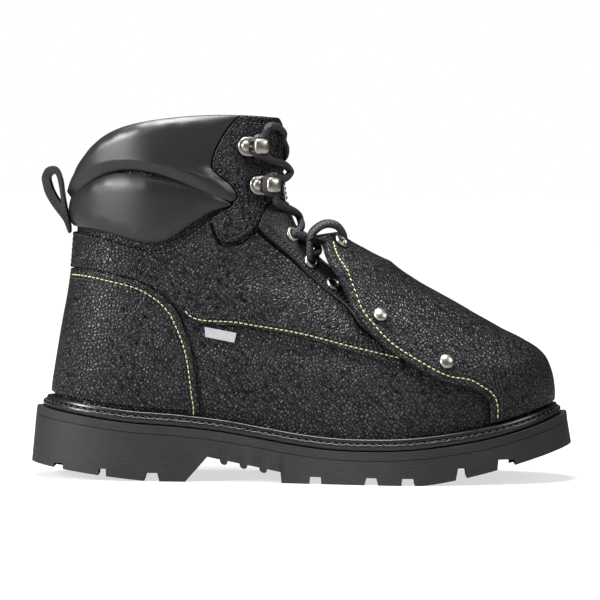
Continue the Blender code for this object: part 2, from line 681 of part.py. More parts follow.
BELOW = -0.004
for number, (start, end, deep, flat) in enumerate(SIDE_CUTS):
    middle = (start + end) / 2
    edges = station(LOW_LINE, middle)
    floor = tread_height(middle) + deep * LUG_DEPTH
    for side, spot in zip((-1, 1), edges):
        sections = []
        for y in (spot[1] - side * LUG_REACH, spot[1] + side * 0.012):
            narrow = (end - start) * flat / 2
            sections.append([
                (low_x(start), y, min(BELOW, floor - 0.004)), (low_x(end), y, min(BELOW, floor - 0.004)),
                (low_x(middle + narrow), y, floor), (low_x(middle - narrow), y, floor),
            ])
        subtract(outsole, prism("side_cut", sections))

for start, end in (FORE_CHANNEL, HEEL_CHANNEL):
    stops = np.linspace(start, end, 12)
    for side in (0, 1):
        points = []
        for share in stops:
            edge = station(LOW_LINE, share)[side]
            inward = 1 if side == 0 else -1
            reach = LUG_REACH - 0.001
            near = edge[1] + inward * reach
            far = near + inward * CHANNEL
            high = tread_height(share) + LUG_DEPTH * 0.9
            low = min(BELOW, high - 0.008)
            x = low_x(share)
            points += [(x, near, low), (x, far, low), (x, far, high), (x, near, high)]
        faces = [(0, 1, 2, 3), tuple(4 * (len(stops) - 1) + n for n in (3, 2, 1, 0))]
        for k in range(len(stops) - 1):
            for n in range(4):
                m = (n + 1) % 4
                faces.append((4 * k + n, 4 * (k + 1) + n, 4 * (k + 1) + m, 4 * k + m))
        subtract(outsole, cutter("channel", points, faces))

for share in CROSS_CUTS + HEEL_CROSS:
    lateral, medial = station(LOW_LINE, share)
    half = 0.0058
    high = tread_height(share) + LUG_DEPTH * 0.82
    low = min(BELOW, high - 0.008)
    sections = []
    for y in (lateral[1] + LUG_REACH + 0.001, medial[1] - LUG_REACH - 0.001):
        x = low_x(share)
        sections.append([
            (x - half, y, low), (x + half, y, low), (x + half * 0.6, y, high), (x - half * 0.6, y, high),
        ])
    subtract(outsole, prism("cross_cut", sections))

# Welt: stitched flange with a round bead above it, lofted round the feather line
WELT_SECTION = (
    (0.10, 0.10, 0.05), (0.89, 1.00, 0.05), (0.89, 1.00, 0.53), (0.64, 0.64, 0.56), (0.74, 0.74, 0.72),
    (0.66, 0.66, 0.93), (0.46, 0.38, 1.00), (0.38, 0.24, 0.82),
)
WELT_COUNT = 42
welt_points = []
for side, end, up in WELT_SECTION:
    line = outline(side * WELT_END, end * WELT_END, WELT_COUNT)
    for x, y in line:
        welt_points.append((x, y, float(sole_top(x)) + up * WELT_HIGH))
welt_faces = []
for k in range(len(WELT_SECTION)):
    m = (k + 1) % len(WELT_SECTION)
    for i in range(WELT_COUNT):
        j = (i + 1) % WELT_COUNT
        low = k * WELT_COUNT
        high = m * WELT_COUNT
        welt_faces.append((low + i, low + j, high + j, high + i))
make("welt", welt_points, welt_faces, WELT_RUBBER)


# Level where the skin clears the welt bead, at a turn
def above_welt(turn, off=0.0):
    levels = np.linspace(0, 4, 81)
    spots = skin(np.full(81, turn), levels, np.full(81, off))
    clear = sole_top(spots[:, 0]) + WELT_HIGH + 3 * GAP
    return float(np.interp(0.0, spots[:, 2] - clear, levels))


def welt_line(start, end, count, off=0.0):
    return np.array([(turn, above_welt(turn, off)) for turn in np.linspace(start, end, count + 1)])


def straight(start, end, count):
    mix = np.linspace(0, 1, count + 1)[:, None]
    return np.array(start, float) * (1 - mix) + np.array(end, float) * mix


BASE = 0.0007
INSET = 0.0003
STRAP_TURN = 0.17

# Seam lines on the lateral side, as turn and level pairs
strap_low = float(locate([COUNTER_TOP[0]])[0, 1])
strap_high = float(locate([COLLAR_LOW[0]])[0, 1])
seam_counter = locate(COUNTER_TOP)
seam_counter[0] = (STRAP_TURN, strap_low)
seam_counter = resample(seam_counter, 10)
seam_front = resample(locate(COUNTER_FRONT), 4)
seam_front[0] = seam_counter[-1]
seam_front[-1, 1] = above_welt(seam_front[-1, 0])
seam_vamp = resample(locate(VAMP_SEAM), 16)
seam_vamp[0] = seam_counter[-1]
seam_collar = locate(COLLAR_LOW)
seam_collar[0] = (STRAP_TURN, strap_high)
seam_collar = resample(seam_collar, 10)
seam_tip = resample(locate(COLLAR_TIP), 2)
seam_hook = resample(locate(HOOK_LOW), 5)
seam_fore = resample(locate(HOOK_FORE), 4)
seam_eyestay = resample(locate(EYESTAY), 8)
seam_under = resample(locate(QUARTER_UNDER), 3)
seam_under[0] = seam_eyestay[-1]
divide_back = float(np.interp(
    COLLAR_DIVIDE_BACK * SHAFT + HEEL_STACK, skin_base(0.0, SEARCH_LEVELS)[:, 2], SEARCH_LEVELS,
))
seam_divide = resample(np.vstack([[(0.0, divide_back)], locate(COLLAR_DIVIDE)]), 15)
seam_rise = resample(locate(COLLAR_FRONT), 7)
seam_rise[-1, 1] = TOP

# Heel counter: one panel from side to side round the heel
strap_foot = straight((-STRAP_TURN, strap_low), (STRAP_TURN, strap_low), 5)
top_line = join(mirror(seam_counter)[::-1], strap_foot, seam_counter)
foot_turn = seam_front[-1, 0]
grid = coons(
    welt_line(-foot_turn, foot_turn, len(top_line) - 1), seam_front[::-1], top_line,
    mirror(seam_front)[::-1], INSET,
)
panel("heel_counter", grid, BASE, BASE + PANEL, BLACK_LEATHER)

# Backstrap up the back seam, between the counter and the collar
strap_side = straight((STRAP_TURN, strap_low), (STRAP_TURN, strap_high), 3)
grid = coons(
    strap_foot, strap_side,
    straight((-STRAP_TURN, strap_high), (STRAP_TURN, strap_high), 5), mirror(strap_side), INSET,
)
panel("backstrap", grid, BASE, BASE + PANEL * 1.3, BLACK_LEATHER)


def both_sides(name, grid, low, high, look):
    panel(name + "_lateral", grid, low, high, look)
    panel(name + "_medial", mirror(grid), low, high, look)


# Quarters: from the backstrap forward to under the guard, with the folded edge below
quarter_top = join(seam_collar, seam_hook, seam_eyestay, seam_under)
quarter_low = join(seam_counter, seam_vamp)
grid = coons(
    quarter_low, straight(quarter_low[-1], quarter_top[-1], 4), quarter_top,
    straight(quarter_low[0], quarter_top[0], 4), INSET,
)
both_sides("quarter", grid, BASE, BASE + PANEL, BLACK_LEATHER)

# Facings: smooth leather along the throat that carries the eyelets, and the hook facing above
EDGE = 0.010


def throat_edge(low, high, count):
    levels = np.linspace(low, high, count + 1)
    return np.array([(math.pi - float(ring_at(v)[COL["gap"]]) - EDGE, v) for v in levels])


throat_split = 13.85
eyestay_throat = throat_edge(10.3, throat_split, 8)
seam_fore[-1] = eyestay_throat[-1]
grid = coons(
    seam_eyestay[::-1], seam_fore, eyestay_throat,
    straight(seam_eyestay[-1], eyestay_throat[0], 4), INSET,
)
both_sides("eyelet_facing", grid, BASE + GAP, BASE + FACING, SMOOTH_LEATHER)

hook_low = join(seam_hook[2:], seam_fore)
hook_throat = throat_edge(throat_split, TOP, 11)
hook_back = join(seam_hook[2::-1], seam_tip, seam_rise)
grid = coons(
    hook_low, hook_throat, resample([hook_back[-1], hook_throat[-1]], len(hook_low) - 1), hook_back,
    INSET,
)
both_sides("hook_facing", grid, BASE + GAP, BASE + FACING, BLACK_LEATHER)

# Collar pads: two swelling bands round the back, from hook facing to hook facing
collar_low = join(seam_collar, seam_tip)
strap_head = straight((-STRAP_TURN, strap_high), (STRAP_TURN, strap_high), 6)
low_line = join(mirror(collar_low)[::-1], strap_head, collar_low)
divide_line = join(mirror(seam_divide)[::-1], seam_divide)
end_line = straight(low_line[-1], divide_line[-1], 4)
grid = coons(low_line, end_line, divide_line, mirror(end_line), INSET)
padded("collar_lower_pad", grid, BASE, PAD_EDGE, PAD_LOW_BULGE, PAD_LEATHER)
rise_line = seam_rise.copy()
rise_line[0] = divide_line[-1]
rise_line[1:5, 0] -= 0.010
collar_top = np.linspace(-rise_line[-1, 0], rise_line[-1, 0], len(divide_line))
rim_line = np.stack([collar_top, np.full(len(collar_top), float(TOP))], -1)
grid = coons(divide_line, rise_line, rim_line, mirror(rise_line), INSET)
padded("collar_top_pad", grid, BASE, PAD_EDGE, PAD_BULGE, PAD_LEATHER)

# Side tag: a small blank tag under the quarter's lower edge, on the lateral side only
tag = locate(TAG_CORNERS)
grid = coons(
    straight(tag[0], tag[3], 3), straight(tag[3], tag[2], 1), straight(tag[1], tag[2], 3),
    straight(tag[0], tag[1], 1), INSET,
)
panel("side_tag", grid, BASE, BASE + TAG_THICK, GREY_CLOTH)

# Metatarsal guard: toe cover and stiff flap in one, standing off the instep
guard_edge = locate(GUARD_SIDE, guard_off)
guard_edge[0, 1] = above_welt(guard_edge[0, 0], GUARD_LIE)
guard_edge = resample(guard_edge, 11)
rear_turn = math.pi - GUARD_END_HALF
guard_edge[-1] = (rear_turn, GUARD_END)
other_edge = guard_edge.copy()
other_edge[:, 0] = 2 * math.pi - other_edge[:, 0]
guard_start = guard_edge[0, 0]
GUARD_ACROSS = 20
grid = coons(
    welt_line(guard_start, 2 * math.pi - guard_start, GUARD_ACROSS, GUARD_LIE), other_edge,
    straight((rear_turn, GUARD_END), (2 * math.pi - rear_turn, GUARD_END), GUARD_ACROSS), guard_edge,
    INSET,
)


def guard_thick(turn, level):
    return GUARD_TOE + (GUARD_STIFF - GUARD_TOE) * ease((level - 4.0) / 3.5)


panel(
    "metatarsal_guard", grid,
    lambda turn, level: guard_off(turn, level) - guard_thick(turn, level), guard_off, BLACK_LEATHER,
)

# Tongue: padded, sunk between the facings, from inside the vamp to just under the collar
TONGUE_TURN = 0.95
TONGUE_LOW = 9.2
TONGUE_TOP = 16.7
turns = math.pi + np.linspace(-TONGUE_TURN, TONGUE_TURN, 9)
levels = np.linspace(TONGUE_LOW, TONGUE_TOP, 8)
grid = np.stack(np.meshgrid(turns, levels, indexing="ij"), -1)


def tongue_bow(turn):
    return np.clip(np.cos((turn - math.pi) / TONGUE_TURN * math.pi / 2), 0, 1)


def tongue_top(turn, level):
    bow = tongue_bow(turn)
    return -WALL - 2 * GAP - TONGUE_SINK * bow ** 1.5


def tongue_under(turn, level):
    bow = tongue_bow(turn)
    return tongue_top(turn, level) - TONGUE_THICK * (0.45 + 0.55 * bow ** 0.7)


panel("tongue", grid, tongue_under, tongue_top, SMOOTH_LEATHER)


# Small hardware: turned shapes set square to the surface
def place(spot, off, side, surface=None):
    """Origin and axes on the surface at a spot given in side view."""
    turn, level = locate([spot], off if surface is None else surface)[0]
    if side < 0:
        turn = -turn
    lift = float(off) if surface is None else float(surface(turn, level)) + float(off)
    point = skin(turn, level, lift)
    normal = skin(turn, level, lift + 0.001) - point
    normal /= np.linalg.norm(normal)
    ahead = np.array([1.0, 0.0, 0.0])
    ahead -= normal * ahead.dot(normal)
    ahead /= np.linalg.norm(ahead)
    return point, normal, ahead, np.cross(normal, ahead)


def turned(name, profile, frame, count, look):
    """Closed ring or dome turned about the surface normal: radius and height pairs."""
    point, normal, ahead, beside = frame
    points = []
    rows = []
    for radius, height in profile:
        if radius < 1e-6:
            rows.append([len(points)] * count)
            points.append(point + normal * height)
            continue
        rows.append([len(points) + n for n in range(count)])
        for n in range(count):
            angle = 2 * math.pi * n / count
            points.append(
                point + normal * height + ahead * radius * math.cos(angle)
                + beside * radius * math.sin(angle)
            )
    faces = []
    closed = profile[0][0] > 1e-6 and profile[-1][0] > 1e-6
    for k in range(len(rows) if closed else len(rows) - 1):
        m = (k + 1) % len(rows)
        for n in range(count):
            o = (n + 1) % count
            face = []
            for corner in (rows[k][n], rows[k][o], rows[m][o], rows[m][n]):
                if corner not in face:
                    face.append(corner)
            if len(face) > 2:
                faces.append(face)
    return make(name, points, faces, look)


def join_solid(target, tool):
    change = target.modifiers.new("join", "BOOLEAN")
    change.operation = "UNION"
    change.solver = "EXACT"
    change.object = tool
    bpy.context.view_layer.update()
    depsgraph = bpy.context.evaluated_depsgraph_get()
    whole = bpy.data.meshes.new_from_object(target.evaluated_get(depsgraph))
    target.modifiers.clear()
    tidy(whole)
    target.data = whole
    bpy.data.objects.remove(tool, do_unlink=True)


ON_FACING = BASE + FACING + 2 * GAP
EYELET_PROFILE = (
    (EYELET_HOLE, 0.0), (EYELET_RADIUS, 0.0), (EYELET_RADIUS * 0.86, EYELET_RISE),
    (EYELET_HOLE * 1.1, EYELET_RISE * 0.8),
)
SIDES = (("lateral", 1), ("medial", -1))
for number, spot in enumerate(EYELET_SPOTS, 1):
    for word, side in SIDES:
        frame = place(spot, ON_FACING, side)
        turned(f"eyelet_{word}_{number}", EYELET_PROFILE, frame, 8, NICKEL)

# Speed hooks: plate, rivet head, post and button in one
for number, spot in enumerate(HOOK_SPOTS, 1):
    for word, side in SIDES:
        point, normal, ahead, beside = place(spot, ON_FACING + GAP, side)
        half = (HOOK_LENGTH - HOOK_WIDTH) / 2
        points = []
        rim = []
        for n in range(12):
            angle = 2 * math.pi * n / 12 + math.pi / 12
            shift = half if math.cos(angle) > 0 else -half
            rim.append((shift + HOOK_WIDTH / 2 * math.cos(angle), HOOK_WIDTH / 2 * math.sin(angle)))
        for height in (0.0, 0.0011):
            for a, b in rim:
                points.append(point + ahead * a + beside * b + normal * height)
        faces = [tuple(range(12)), tuple(range(23, 11, -1))]
        faces += [(n, (n + 1) % 12, 12 + (n + 1) % 12, 12 + n) for n in range(12)]
        hook = make(f"hook_{word}_{number}", points, faces, NICKEL)
        rivet = turned(
            "rivet", ((0.0, 0.0005), (0.0033, 0.0005), (0.0030, 0.0019), (0.0, 0.0026)),
            (point - ahead * half * 1.15, normal, ahead, beside), 7, None,
        )
        join_solid(hook, rivet)
        button = turned(
            "button", (
                (0.0, 0.0005), (0.0019, 0.0005), (0.0019, 0.0052), (HOOK_BUTTON, 0.0056),
                (HOOK_BUTTON * 0.94, 0.0072), (0.0, 0.0081),
            ), (point + ahead * half * 1.15, normal, ahead, beside), 8, None,
        )
        join_solid(hook, button)

# Guard rivets and the guard's own eyelets
RIVET_PROFILE = (
    (0.0, 0.0), (RIVET_RADIUS, 0.0), (RIVET_RADIUS * 0.96, 0.0009), (RIVET_RADIUS * 0.55, 0.0018),
    (0.0, 0.0021),
)
for number, spot in enumerate(GUARD_RIVET_SPOTS, 1):
    for word, side in SIDES:
        frame = place(spot, 0.0008, side, guard_off)
        turned(f"guard_rivet_{word}_{number}", RIVET_PROFILE, frame, 8, NICKEL)
GUARD_EYELET_LEVEL = 11.75
GUARD_EYELET_TURN = 0.34
guard_eyelet_frames = {}
for word, side in SIDES:
    turn = math.pi - side * GUARD_EYELET_TURN
    lift = float(guard_off(turn, GUARD_EYELET_LEVEL)) + 0.0020
    point = skin(turn, GUARD_EYELET_LEVEL, lift)
    normal = skin(turn, GUARD_EYELET_LEVEL, lift + 0.001) - point
    normal /= np.linalg.norm(normal)
    ahead = np.array([1.0, 0.0, 0.0]) - normal * normal[0]
    ahead /= np.linalg.norm(ahead)
    guard_eyelet_frames[side] = (point, normal, ahead, np.cross(normal, ahead))
    turned(f"guard_eyelet_{word}", EYELET_PROFILE, guard_eyelet_frames[side], 8, NICKEL)


# Round cord along a line of points
def cord(name, line, radius, look, count=5):
    line = [Vector(p) for p in line]
    points = []
    beside = Vector((0.13, 0.05, 1.0))
    for k, here in enumerate(line):
        ahead = (line[min(k + 1, len(line) - 1)] - line[max(k - 1, 0)]).normalized()
        beside = (beside - ahead * beside.dot(ahead)).normalized()
        up = beside.cross(ahead)
        for n in range(count):
            angle = 2 * math.pi * n / count
            points.append(here + (beside * math.cos(angle) + up * math.sin(angle)) * radius)
    faces = [tuple(range(count)), tuple(range(len(points) - 1, len(points) - 1 - count, -1))]
    for k in range(len(line) - 1):
        for n in range(count):
            m = (n + 1) % count
            faces.append((k * count + n, k * count + m, (k + 1) * count + m, (k + 1) * count + n))
    return make(name, points, faces, look)


# Lace: two zigzag runs that cross over the tongue from eyelet to eyelet and up to the hooks
LACE_LIFT = ON_FACING + EYELET_RISE + LACE_RADIUS + 0.0009
LACE_DIP = -0.0020
lace_spots = [tuple(spot) for spot in locate(EYELET_SPOTS[::-1], LACE_LIFT)]
for spot in locate(HOOK_SPOTS[::-1], LACE_LIFT):
    lace_spots.append((math.pi - float(ring_at(spot[1])[COL["gap"]]) - 0.05, spot[1]))


def lace_point(turn, level):
    reach = ease(abs(turn - math.pi) / 0.27)
    return skin(turn, level, LACE_DIP + (LACE_LIFT - LACE_DIP) * reach)


runs = []
for start in (1, -1):
    corners = []
    side = start
    for turn, level in lace_spots:
        corners.append(np.array([turn if side > 0 else 2 * math.pi - turn, level]))
        side = -side
    line = [lace_point(*corners[0])]
    for k in range(len(corners) - 1):
        strand = [corners[k] * (1 - mix) + corners[k + 1] * mix for mix in np.linspace(0.13, 0.87, 6)]
        if k > 0:
            before = corners[k - 1] * 0.13 + corners[k] * 0.87
            bend = corners[k] * 0.5 + (before + strand[0]) * 0.25
            line.append(lace_point(*bend))
        line += [lace_point(*spot) for spot in strand]
    line.append(lace_point(*corners[-1]))
    if start < 0:
        line = [spot + LACE_RADIUS * np.array([-0.30, 0.0, 0.28]) for spot in line]
    runs.append(line)
lace = cord("lace", runs[0], LACE_RADIUS, BLACK_CLOTH)
join_solid(lace, cord("lace_run", runs[1], LACE_RADIUS * 1.02, None))

# Guard tie: the part of the lace that rises over the guard's rear edge into its eyelets
half_tie = []
point, normal, ahead, beside = guard_eyelet_frames[1]
half_tie.append(point + normal * (LACE_RADIUS + EYELET_RISE + 0.0006))
for along, wide, up in TIE_PATH:
    half_tie.append(np.array([
        along * FOOT_LENGTH + FOOT_BACK, -wide * WAIST_WIDTH, up * SHAFT + HEEL_STACK,
    ]))
other_half = [spot * np.array([1.0, -1.0, 1.0]) for spot in half_tie[::-1]]
cord("guard_tie", half_tie + other_half[1:], LACE_RADIUS, BLACK_CLOTH)

# Pull loop: a folded webbing strap that stands out behind the collar
LOOP_OUTER = (
    (0.0265, 0.6080), (0.0166, 0.6463), (0.0032, 0.6746), (-0.0106, 0.7051), (-0.0216, 0.7373),
    (-0.0276, 0.7746), (-0.0279, 0.7910), (-0.0212, 0.8141), (-0.0102, 0.8237), (-0.0011, 0.8198),
    (0.0060, 0.8051), (0.0120, 0.7751), (0.0150, 0.7400), (0.0200, 0.6950), (0.0262, 0.6500),
    (0.0290, 0.6200),
)
LOOP_HOLE = (
    (0.0100, 0.7020), (0.0080, 0.7100), (0.0000, 0.7290), (-0.0074, 0.7530), (-0.0127, 0.7830),
    (-0.0085, 0.7960), (-0.0020, 0.7990), (0.0030, 0.7850), (0.0070, 0.7550), (0.0105, 0.7180),
)


def side_ring(table, y):
    return [
        (a * FOOT_LENGTH + FOOT_BACK - LOOP_SHIFT, y, u * SHAFT + HEEL_STACK) for a, u in table
    ]


outer = side_ring(LOOP_OUTER, -LOOP_WIDTH / 2) + side_ring(LOOP_OUTER, LOOP_WIDTH / 2)
count = len(LOOP_OUTER)
faces = [tuple(range(count)), tuple(range(2 * count - 1, count - 1, -1))]
faces += [(n, (n + 1) % count, count + (n + 1) % count, count + n) for n in range(count)]
loop = make("pull_loop", outer, faces, BLACK_CLOTH)
hole = side_ring(LOOP_HOLE, -LOOP_WIDTH) + side_ring(LOOP_HOLE, LOOP_WIDTH)
count = len(LOOP_HOLE)
faces = [tuple(range(count)), tuple(range(2 * count - 1, count - 1, -1))]
faces += [(n, (n + 1) % count, count + (n + 1) % count, count + n) for n in range(count)]
subtract(loop, cutter("loop_hole", hole, faces))

# Shared frame: the middle of the whole boot's box stands over the origin
corners = np.array([
    tuple(vertex.co) for item in bpy.data.objects for vertex in item.data.vertices
])
middle = (corners.min(axis=0) + corners.max(axis=0)) / 2
shift = Matrix.Translation((-middle[0], -middle[1], -corners[:, 2].min()))
for item in bpy.data.objects:
    item.data.transform(shift)
    item.data.update()
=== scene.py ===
"""Metatarsal guard work boot on a pale floor, seen from its lateral side.

+X points to the toe, +Y to the medial side, +Z up, metres.
"""

import math

import bmesh
import bpy
import numpy as np
from mathutils import Matrix, Vector


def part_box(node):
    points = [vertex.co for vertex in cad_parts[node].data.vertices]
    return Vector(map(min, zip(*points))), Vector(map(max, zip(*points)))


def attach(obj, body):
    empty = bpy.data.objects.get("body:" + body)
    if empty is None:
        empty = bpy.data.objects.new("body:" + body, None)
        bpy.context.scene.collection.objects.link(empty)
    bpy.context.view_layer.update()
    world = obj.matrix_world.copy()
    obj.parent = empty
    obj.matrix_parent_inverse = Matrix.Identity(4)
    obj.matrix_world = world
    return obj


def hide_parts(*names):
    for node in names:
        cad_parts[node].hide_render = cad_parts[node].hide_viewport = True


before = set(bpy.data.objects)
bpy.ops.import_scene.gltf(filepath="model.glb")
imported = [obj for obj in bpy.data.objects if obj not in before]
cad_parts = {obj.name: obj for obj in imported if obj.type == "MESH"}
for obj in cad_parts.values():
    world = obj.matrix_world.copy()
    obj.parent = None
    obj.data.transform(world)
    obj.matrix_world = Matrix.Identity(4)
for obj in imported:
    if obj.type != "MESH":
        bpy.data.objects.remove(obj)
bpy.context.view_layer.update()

# Upper: black full-grain leather pulled over a last, with a cloth lining inside. It is one skin,
# worked out ring by ring, and every panel sewn on it is a patch of the same skin.
FOOT_LENGTH = 0.283
FOOT_BACK = -0.1425
BOOT_HEIGHT = 0.2085
HEEL_STACK = 0.0315
SHAFT = BOOT_HEIGHT - HEEL_STACK
HEEL_WIDTH = 0.061
WAIST_WIDTH = 0.058
BALL_WIDTH = 0.092
SOLE_LENGTH = 0.3105
SOLE_BACK = -0.156
WALL = 0.0024
GAP = 0.0003
# Ring table of the skin, bottom to top: shares of FOOT_LENGTH, SHAFT and the three widths
RING_COLUMNS = (
    "back_x", "back_up", "front_x", "front_up", "follow", "heel", "waist", "ball",
    "front_cap", "back_cap", "nose", "skew", "crest", "gap",
)
RINGS = np.array([
    (0.0000, 0.000, 1.0000, 0.000, 1.00, 0.500, 0.500, 0.500, 0.34, 0.15, 1.00, 1.0, 0.000, 0.0),
    (-.0030, 0.041, 1.0035, 0.055, 0.95, 0.531, 0.534, 0.522, 0.34, 0.15, 1.00, 1.0, 0.000, 0.0),
    (-.0020, 0.082, 1.0030, 0.102, 0.85, 0.552, 0.566, 0.536, 0.34, 0.15, 1.00, 1.0, 0.000, 0.0),
    (0.0035, 0.150, 0.9960, 0.159, 0.70, 0.570, 0.590, 0.543, 0.34, 0.15, 1.00, 1.0, 0.000, 0.0),
    (0.0090, 0.215, 0.9810, 0.212, 0.50, 0.574, 0.603, 0.538, 0.36, 0.15, 1.00, 1.0, 0.000, 0.0),
    (0.0140, 0.272, 0.9490, 0.255, 0.35, 0.574, 0.612, 0.516, 0.38, 0.15, 1.00, 0.8, 0.000, 0.0),
    (0.0195, 0.329, 0.8990, 0.288, 0.20, 0.574, 0.621, 0.489, 0.42, 0.16, 0.83, 0.5, 0.000, 0.0),
    (0.0255, 0.384, 0.8390, 0.321, 0.10, 0.570, 0.624, 0.462, 0.46, 0.17, 0.67, 0.3, 0.000, 0.0),
    (0.0300, 0.431, 0.7760, 0.353, 0.05, 0.566, 0.629, 0.440, 0.50, 0.185, 0.50, 0.0, 0.000, 0.0),
    (0.0336, 0.477, 0.7085, 0.379, 0.00, 0.562, 0.629, 0.424, 0.50, 0.20, 0.33, 0.0, 0.000, 0.0),
    (0.0364, 0.523, 0.6450, 0.415, 0.00, 0.562, 0.629, 0.413, 0.50, 0.22, 0.17, 0.0, 0.000, 0.22),
    (0.0380, 0.562, 0.5810, 0.472, 0.00, 0.567, 0.633, 0.402, 0.50, 0.25, 0.00, 0.0, 0.000, 0.33),
    (0.0400, 0.602, 0.5350, 0.537, 0.00, 0.577, 0.641, 0.399, 0.50, 0.30, 0.00, 0.0, 0.000, 0.37),
    (0.0406, 0.641, 0.4980, 0.624, 0.00, 0.590, 0.655, 0.397, 0.50, 0.34, 0.00, 0.0, 0.011, 0.39),
    (0.0406, 0.681, 0.4790, 0.715, 0.00, 0.603, 0.672, 0.397, 0.50, 0.36, 0.00, 0.0, 0.040, 0.40),
    (0.0406, 0.715, 0.4700, 0.811, 0.00, 0.611, 0.681, 0.397, 0.50, 0.38, 0.00, 0.0, 0.079, 0.40),
    (0.0406, 0.743, 0.4680, 0.901, 0.00, 0.611, 0.681, 0.391, 0.50, 0.39, 0.00, 0.0, 0.113, 0.40),
    (0.0406, 0.766, 0.4680, 0.980, 0.00, 0.607, 0.672, 0.386, 0.50, 0.40, 0.00, 0.0, 0.147, 0.40),
])
TOP = len(RINGS) - 1
COL = {name: index for index, name in enumerate(RING_COLUMNS)}
NOSE_SHIFT = 0.006
WAIST_SKEW = 0.0025
WIDE_AT = {"heel": 0.15, "waist": 0.37, "ball": 0.73}
# Sole top line: share along the sole, share of HEEL_STACK
SOLE_TOP = np.array([
    (0.00, 1.286), (0.08, 1.168), (0.18, 1.038), (0.28, 0.965), (0.35, 0.889), (0.42, 0.775),
    (0.49, 0.662), (0.55, 0.600), (0.62, 0.584), (0.70, 0.616), (0.78, 0.712), (0.86, 0.857),
    (0.93, 1.048), (1.00, 1.286),
])


def sole_share(x):
    """Share along the sole at a place x."""
    return (x - SOLE_BACK) / SOLE_LENGTH


def smooth_table(table, at):
    """Smooth value of a two column table."""
    xs = table[:, 0]
    ys = table[:, 1]
    slope = np.gradient(ys, xs)
    at = np.clip(at, xs[0], xs[-1])
    index = np.clip(np.searchsorted(xs, at, side="right") - 1, 0, len(xs) - 2)
    span = xs[index + 1] - xs[index]
    f = (at - xs[index]) / span
    a = (2 * f ** 3 - 3 * f ** 2 + 1) * ys[index]
    b = (f ** 3 - 2 * f ** 2 + f) * span * slope[index]
    c = (-2 * f ** 3 + 3 * f ** 2) * ys[index + 1]
    d = (f ** 3 - f ** 2) * span * slope[index + 1]
    return a + b + c + d


def sole_top(x):
    """Height of the sole's top line at a place x."""
    return smooth_table(SOLE_TOP, sole_share(np.asarray(x, float))) * HEEL_STACK


RING_PAD = np.vstack([2 * RINGS[0] - RINGS[1], RINGS, 2 * RINGS[-1] - RINGS[-2]])


def ring_at(level):
    """Ring values at a level between rings."""
    level = np.clip(np.asarray(level, float), 0, TOP)
    index = np.minimum(level.astype(int), TOP - 1)
    f = (level - index)[..., None]
    p0 = RING_PAD[index]
    p1 = RING_PAD[index + 1]
    p2 = RING_PAD[index + 2]
    p3 = RING_PAD[index + 3]
    bend = 2 * p0 - 5 * p1 + 4 * p2 - p3 + f * (3 * (p1 - p2) + p3 - p0)
    return p1 + 0.5 * f * (p2 - p0 + f * bend)


def ease(share):
    share = np.clip(share, 0, 1)
    return share * share * (3 - 2 * share)


def cap(share, power):
    share = np.clip(share, 0, 1)
    return (1 - (1 - share) ** power) ** (1 / power)


def skin_base(turn, level):
    """Point of the skin: turn runs from the back (0) over the lateral side to the front (pi)."""
    turn = np.asarray(turn, float)
    ring = dict(zip(RING_COLUMNS, np.moveaxis(ring_at(level), -1, 0)))
    along = (1 - np.cos(turn)) / 2
    x = (ring["back_x"] + (ring["front_x"] - ring["back_x"]) * along) * FOOT_LENGTH + FOOT_BACK
    up = ring["back_up"] + (ring["front_up"] - ring["back_up"]) * along
    crest = ring["crest"] * (1 - (1 - along) ** 12) * (1 - along ** 2)
    z = HEEL_STACK + (up + crest) * SHAFT + (sole_top(x) - HEEL_STACK) * ring["follow"] + GAP
    heel = ring["heel"] * HEEL_WIDTH
    waist = ring["waist"] * WAIST_WIDTH
    ball = ring["ball"] * BALL_WIDTH
    first = ease((along - WIDE_AT["heel"]) / (WIDE_AT["waist"] - WIDE_AT["heel"]))
    second = ease((along - WIDE_AT["waist"]) / (WIDE_AT["ball"] - WIDE_AT["waist"]))
    width = heel + (waist - heel) * first + (ball - waist) * second
    half = width * cap(along / ring["back_cap"], 2.0) * cap((1 - along) / ring["front_cap"], 2.25)
    y = -half * np.sign(np.sin(turn))
    y = y + ring["nose"] * NOSE_SHIFT * along ** 3
    y = y - ring["skew"] * WAIST_SKEW * np.exp(-((along - 0.40) / 0.16) ** 2)
    return np.stack([x, y, z], axis=-1)


def skin(turn, level, off=0.0):
    """Skin point moved outward by off along the skin's normal."""
    turn = np.asarray(turn, float)
    level = np.asarray(level, float)
    turn, level = np.broadcast_arrays(turn, level)
    here = skin_base(turn, level)
    around = skin_base(turn + 0.03, level) - skin_base(turn - 0.03, level)
    rise = skin_base(turn, level + 0.12) - skin_base(turn, level - 0.12)
    normal = np.cross(around, rise)
    normal /= np.linalg.norm(normal, axis=-1, keepdims=True)
    return here + normal * np.asarray(off, float)[..., None]


def outline(side, end, count=240):
    """Feather line moved outward, less at the sides than at the ends."""
    turns = np.linspace(0, 2 * math.pi, count, endpoint=False)
    line = skin_base(turns, 0.0)[:, :2]
    ahead = skin_base(turns + 0.02, 0.0)[:, :2] - skin_base(turns - 0.02, 0.0)[:, :2]
    normal = np.stack([ahead[:, 1], -ahead[:, 0]], -1)
    normal /= np.linalg.norm(normal, axis=1, keepdims=True)
    reach = side + (end - side) * np.abs(normal[:, :1]) ** 1.5
    return line + normal * reach


WELT_SIDE = 0.0066
WELT_END = 0.0074
LEDGE_SIDE = 0.0018
LEDGE_END = 0.0034
FLARE_SIDE = 0.0012
FLARE_END = 0.0029
low_line = outline(WELT_SIDE + LEDGE_SIDE + FLARE_SIDE, WELT_END + LEDGE_END + FLARE_END)
sole_low, sole_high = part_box("outsole")
SHIFT = np.array([
    (sole_low[0] + sole_high[0] - low_line[:, 0].min() - low_line[:, 0].max()) / 2,
    (sole_low[1] + sole_high[1] - low_line[:, 1].min() - low_line[:, 1].max()) / 2,
    0.0,
])


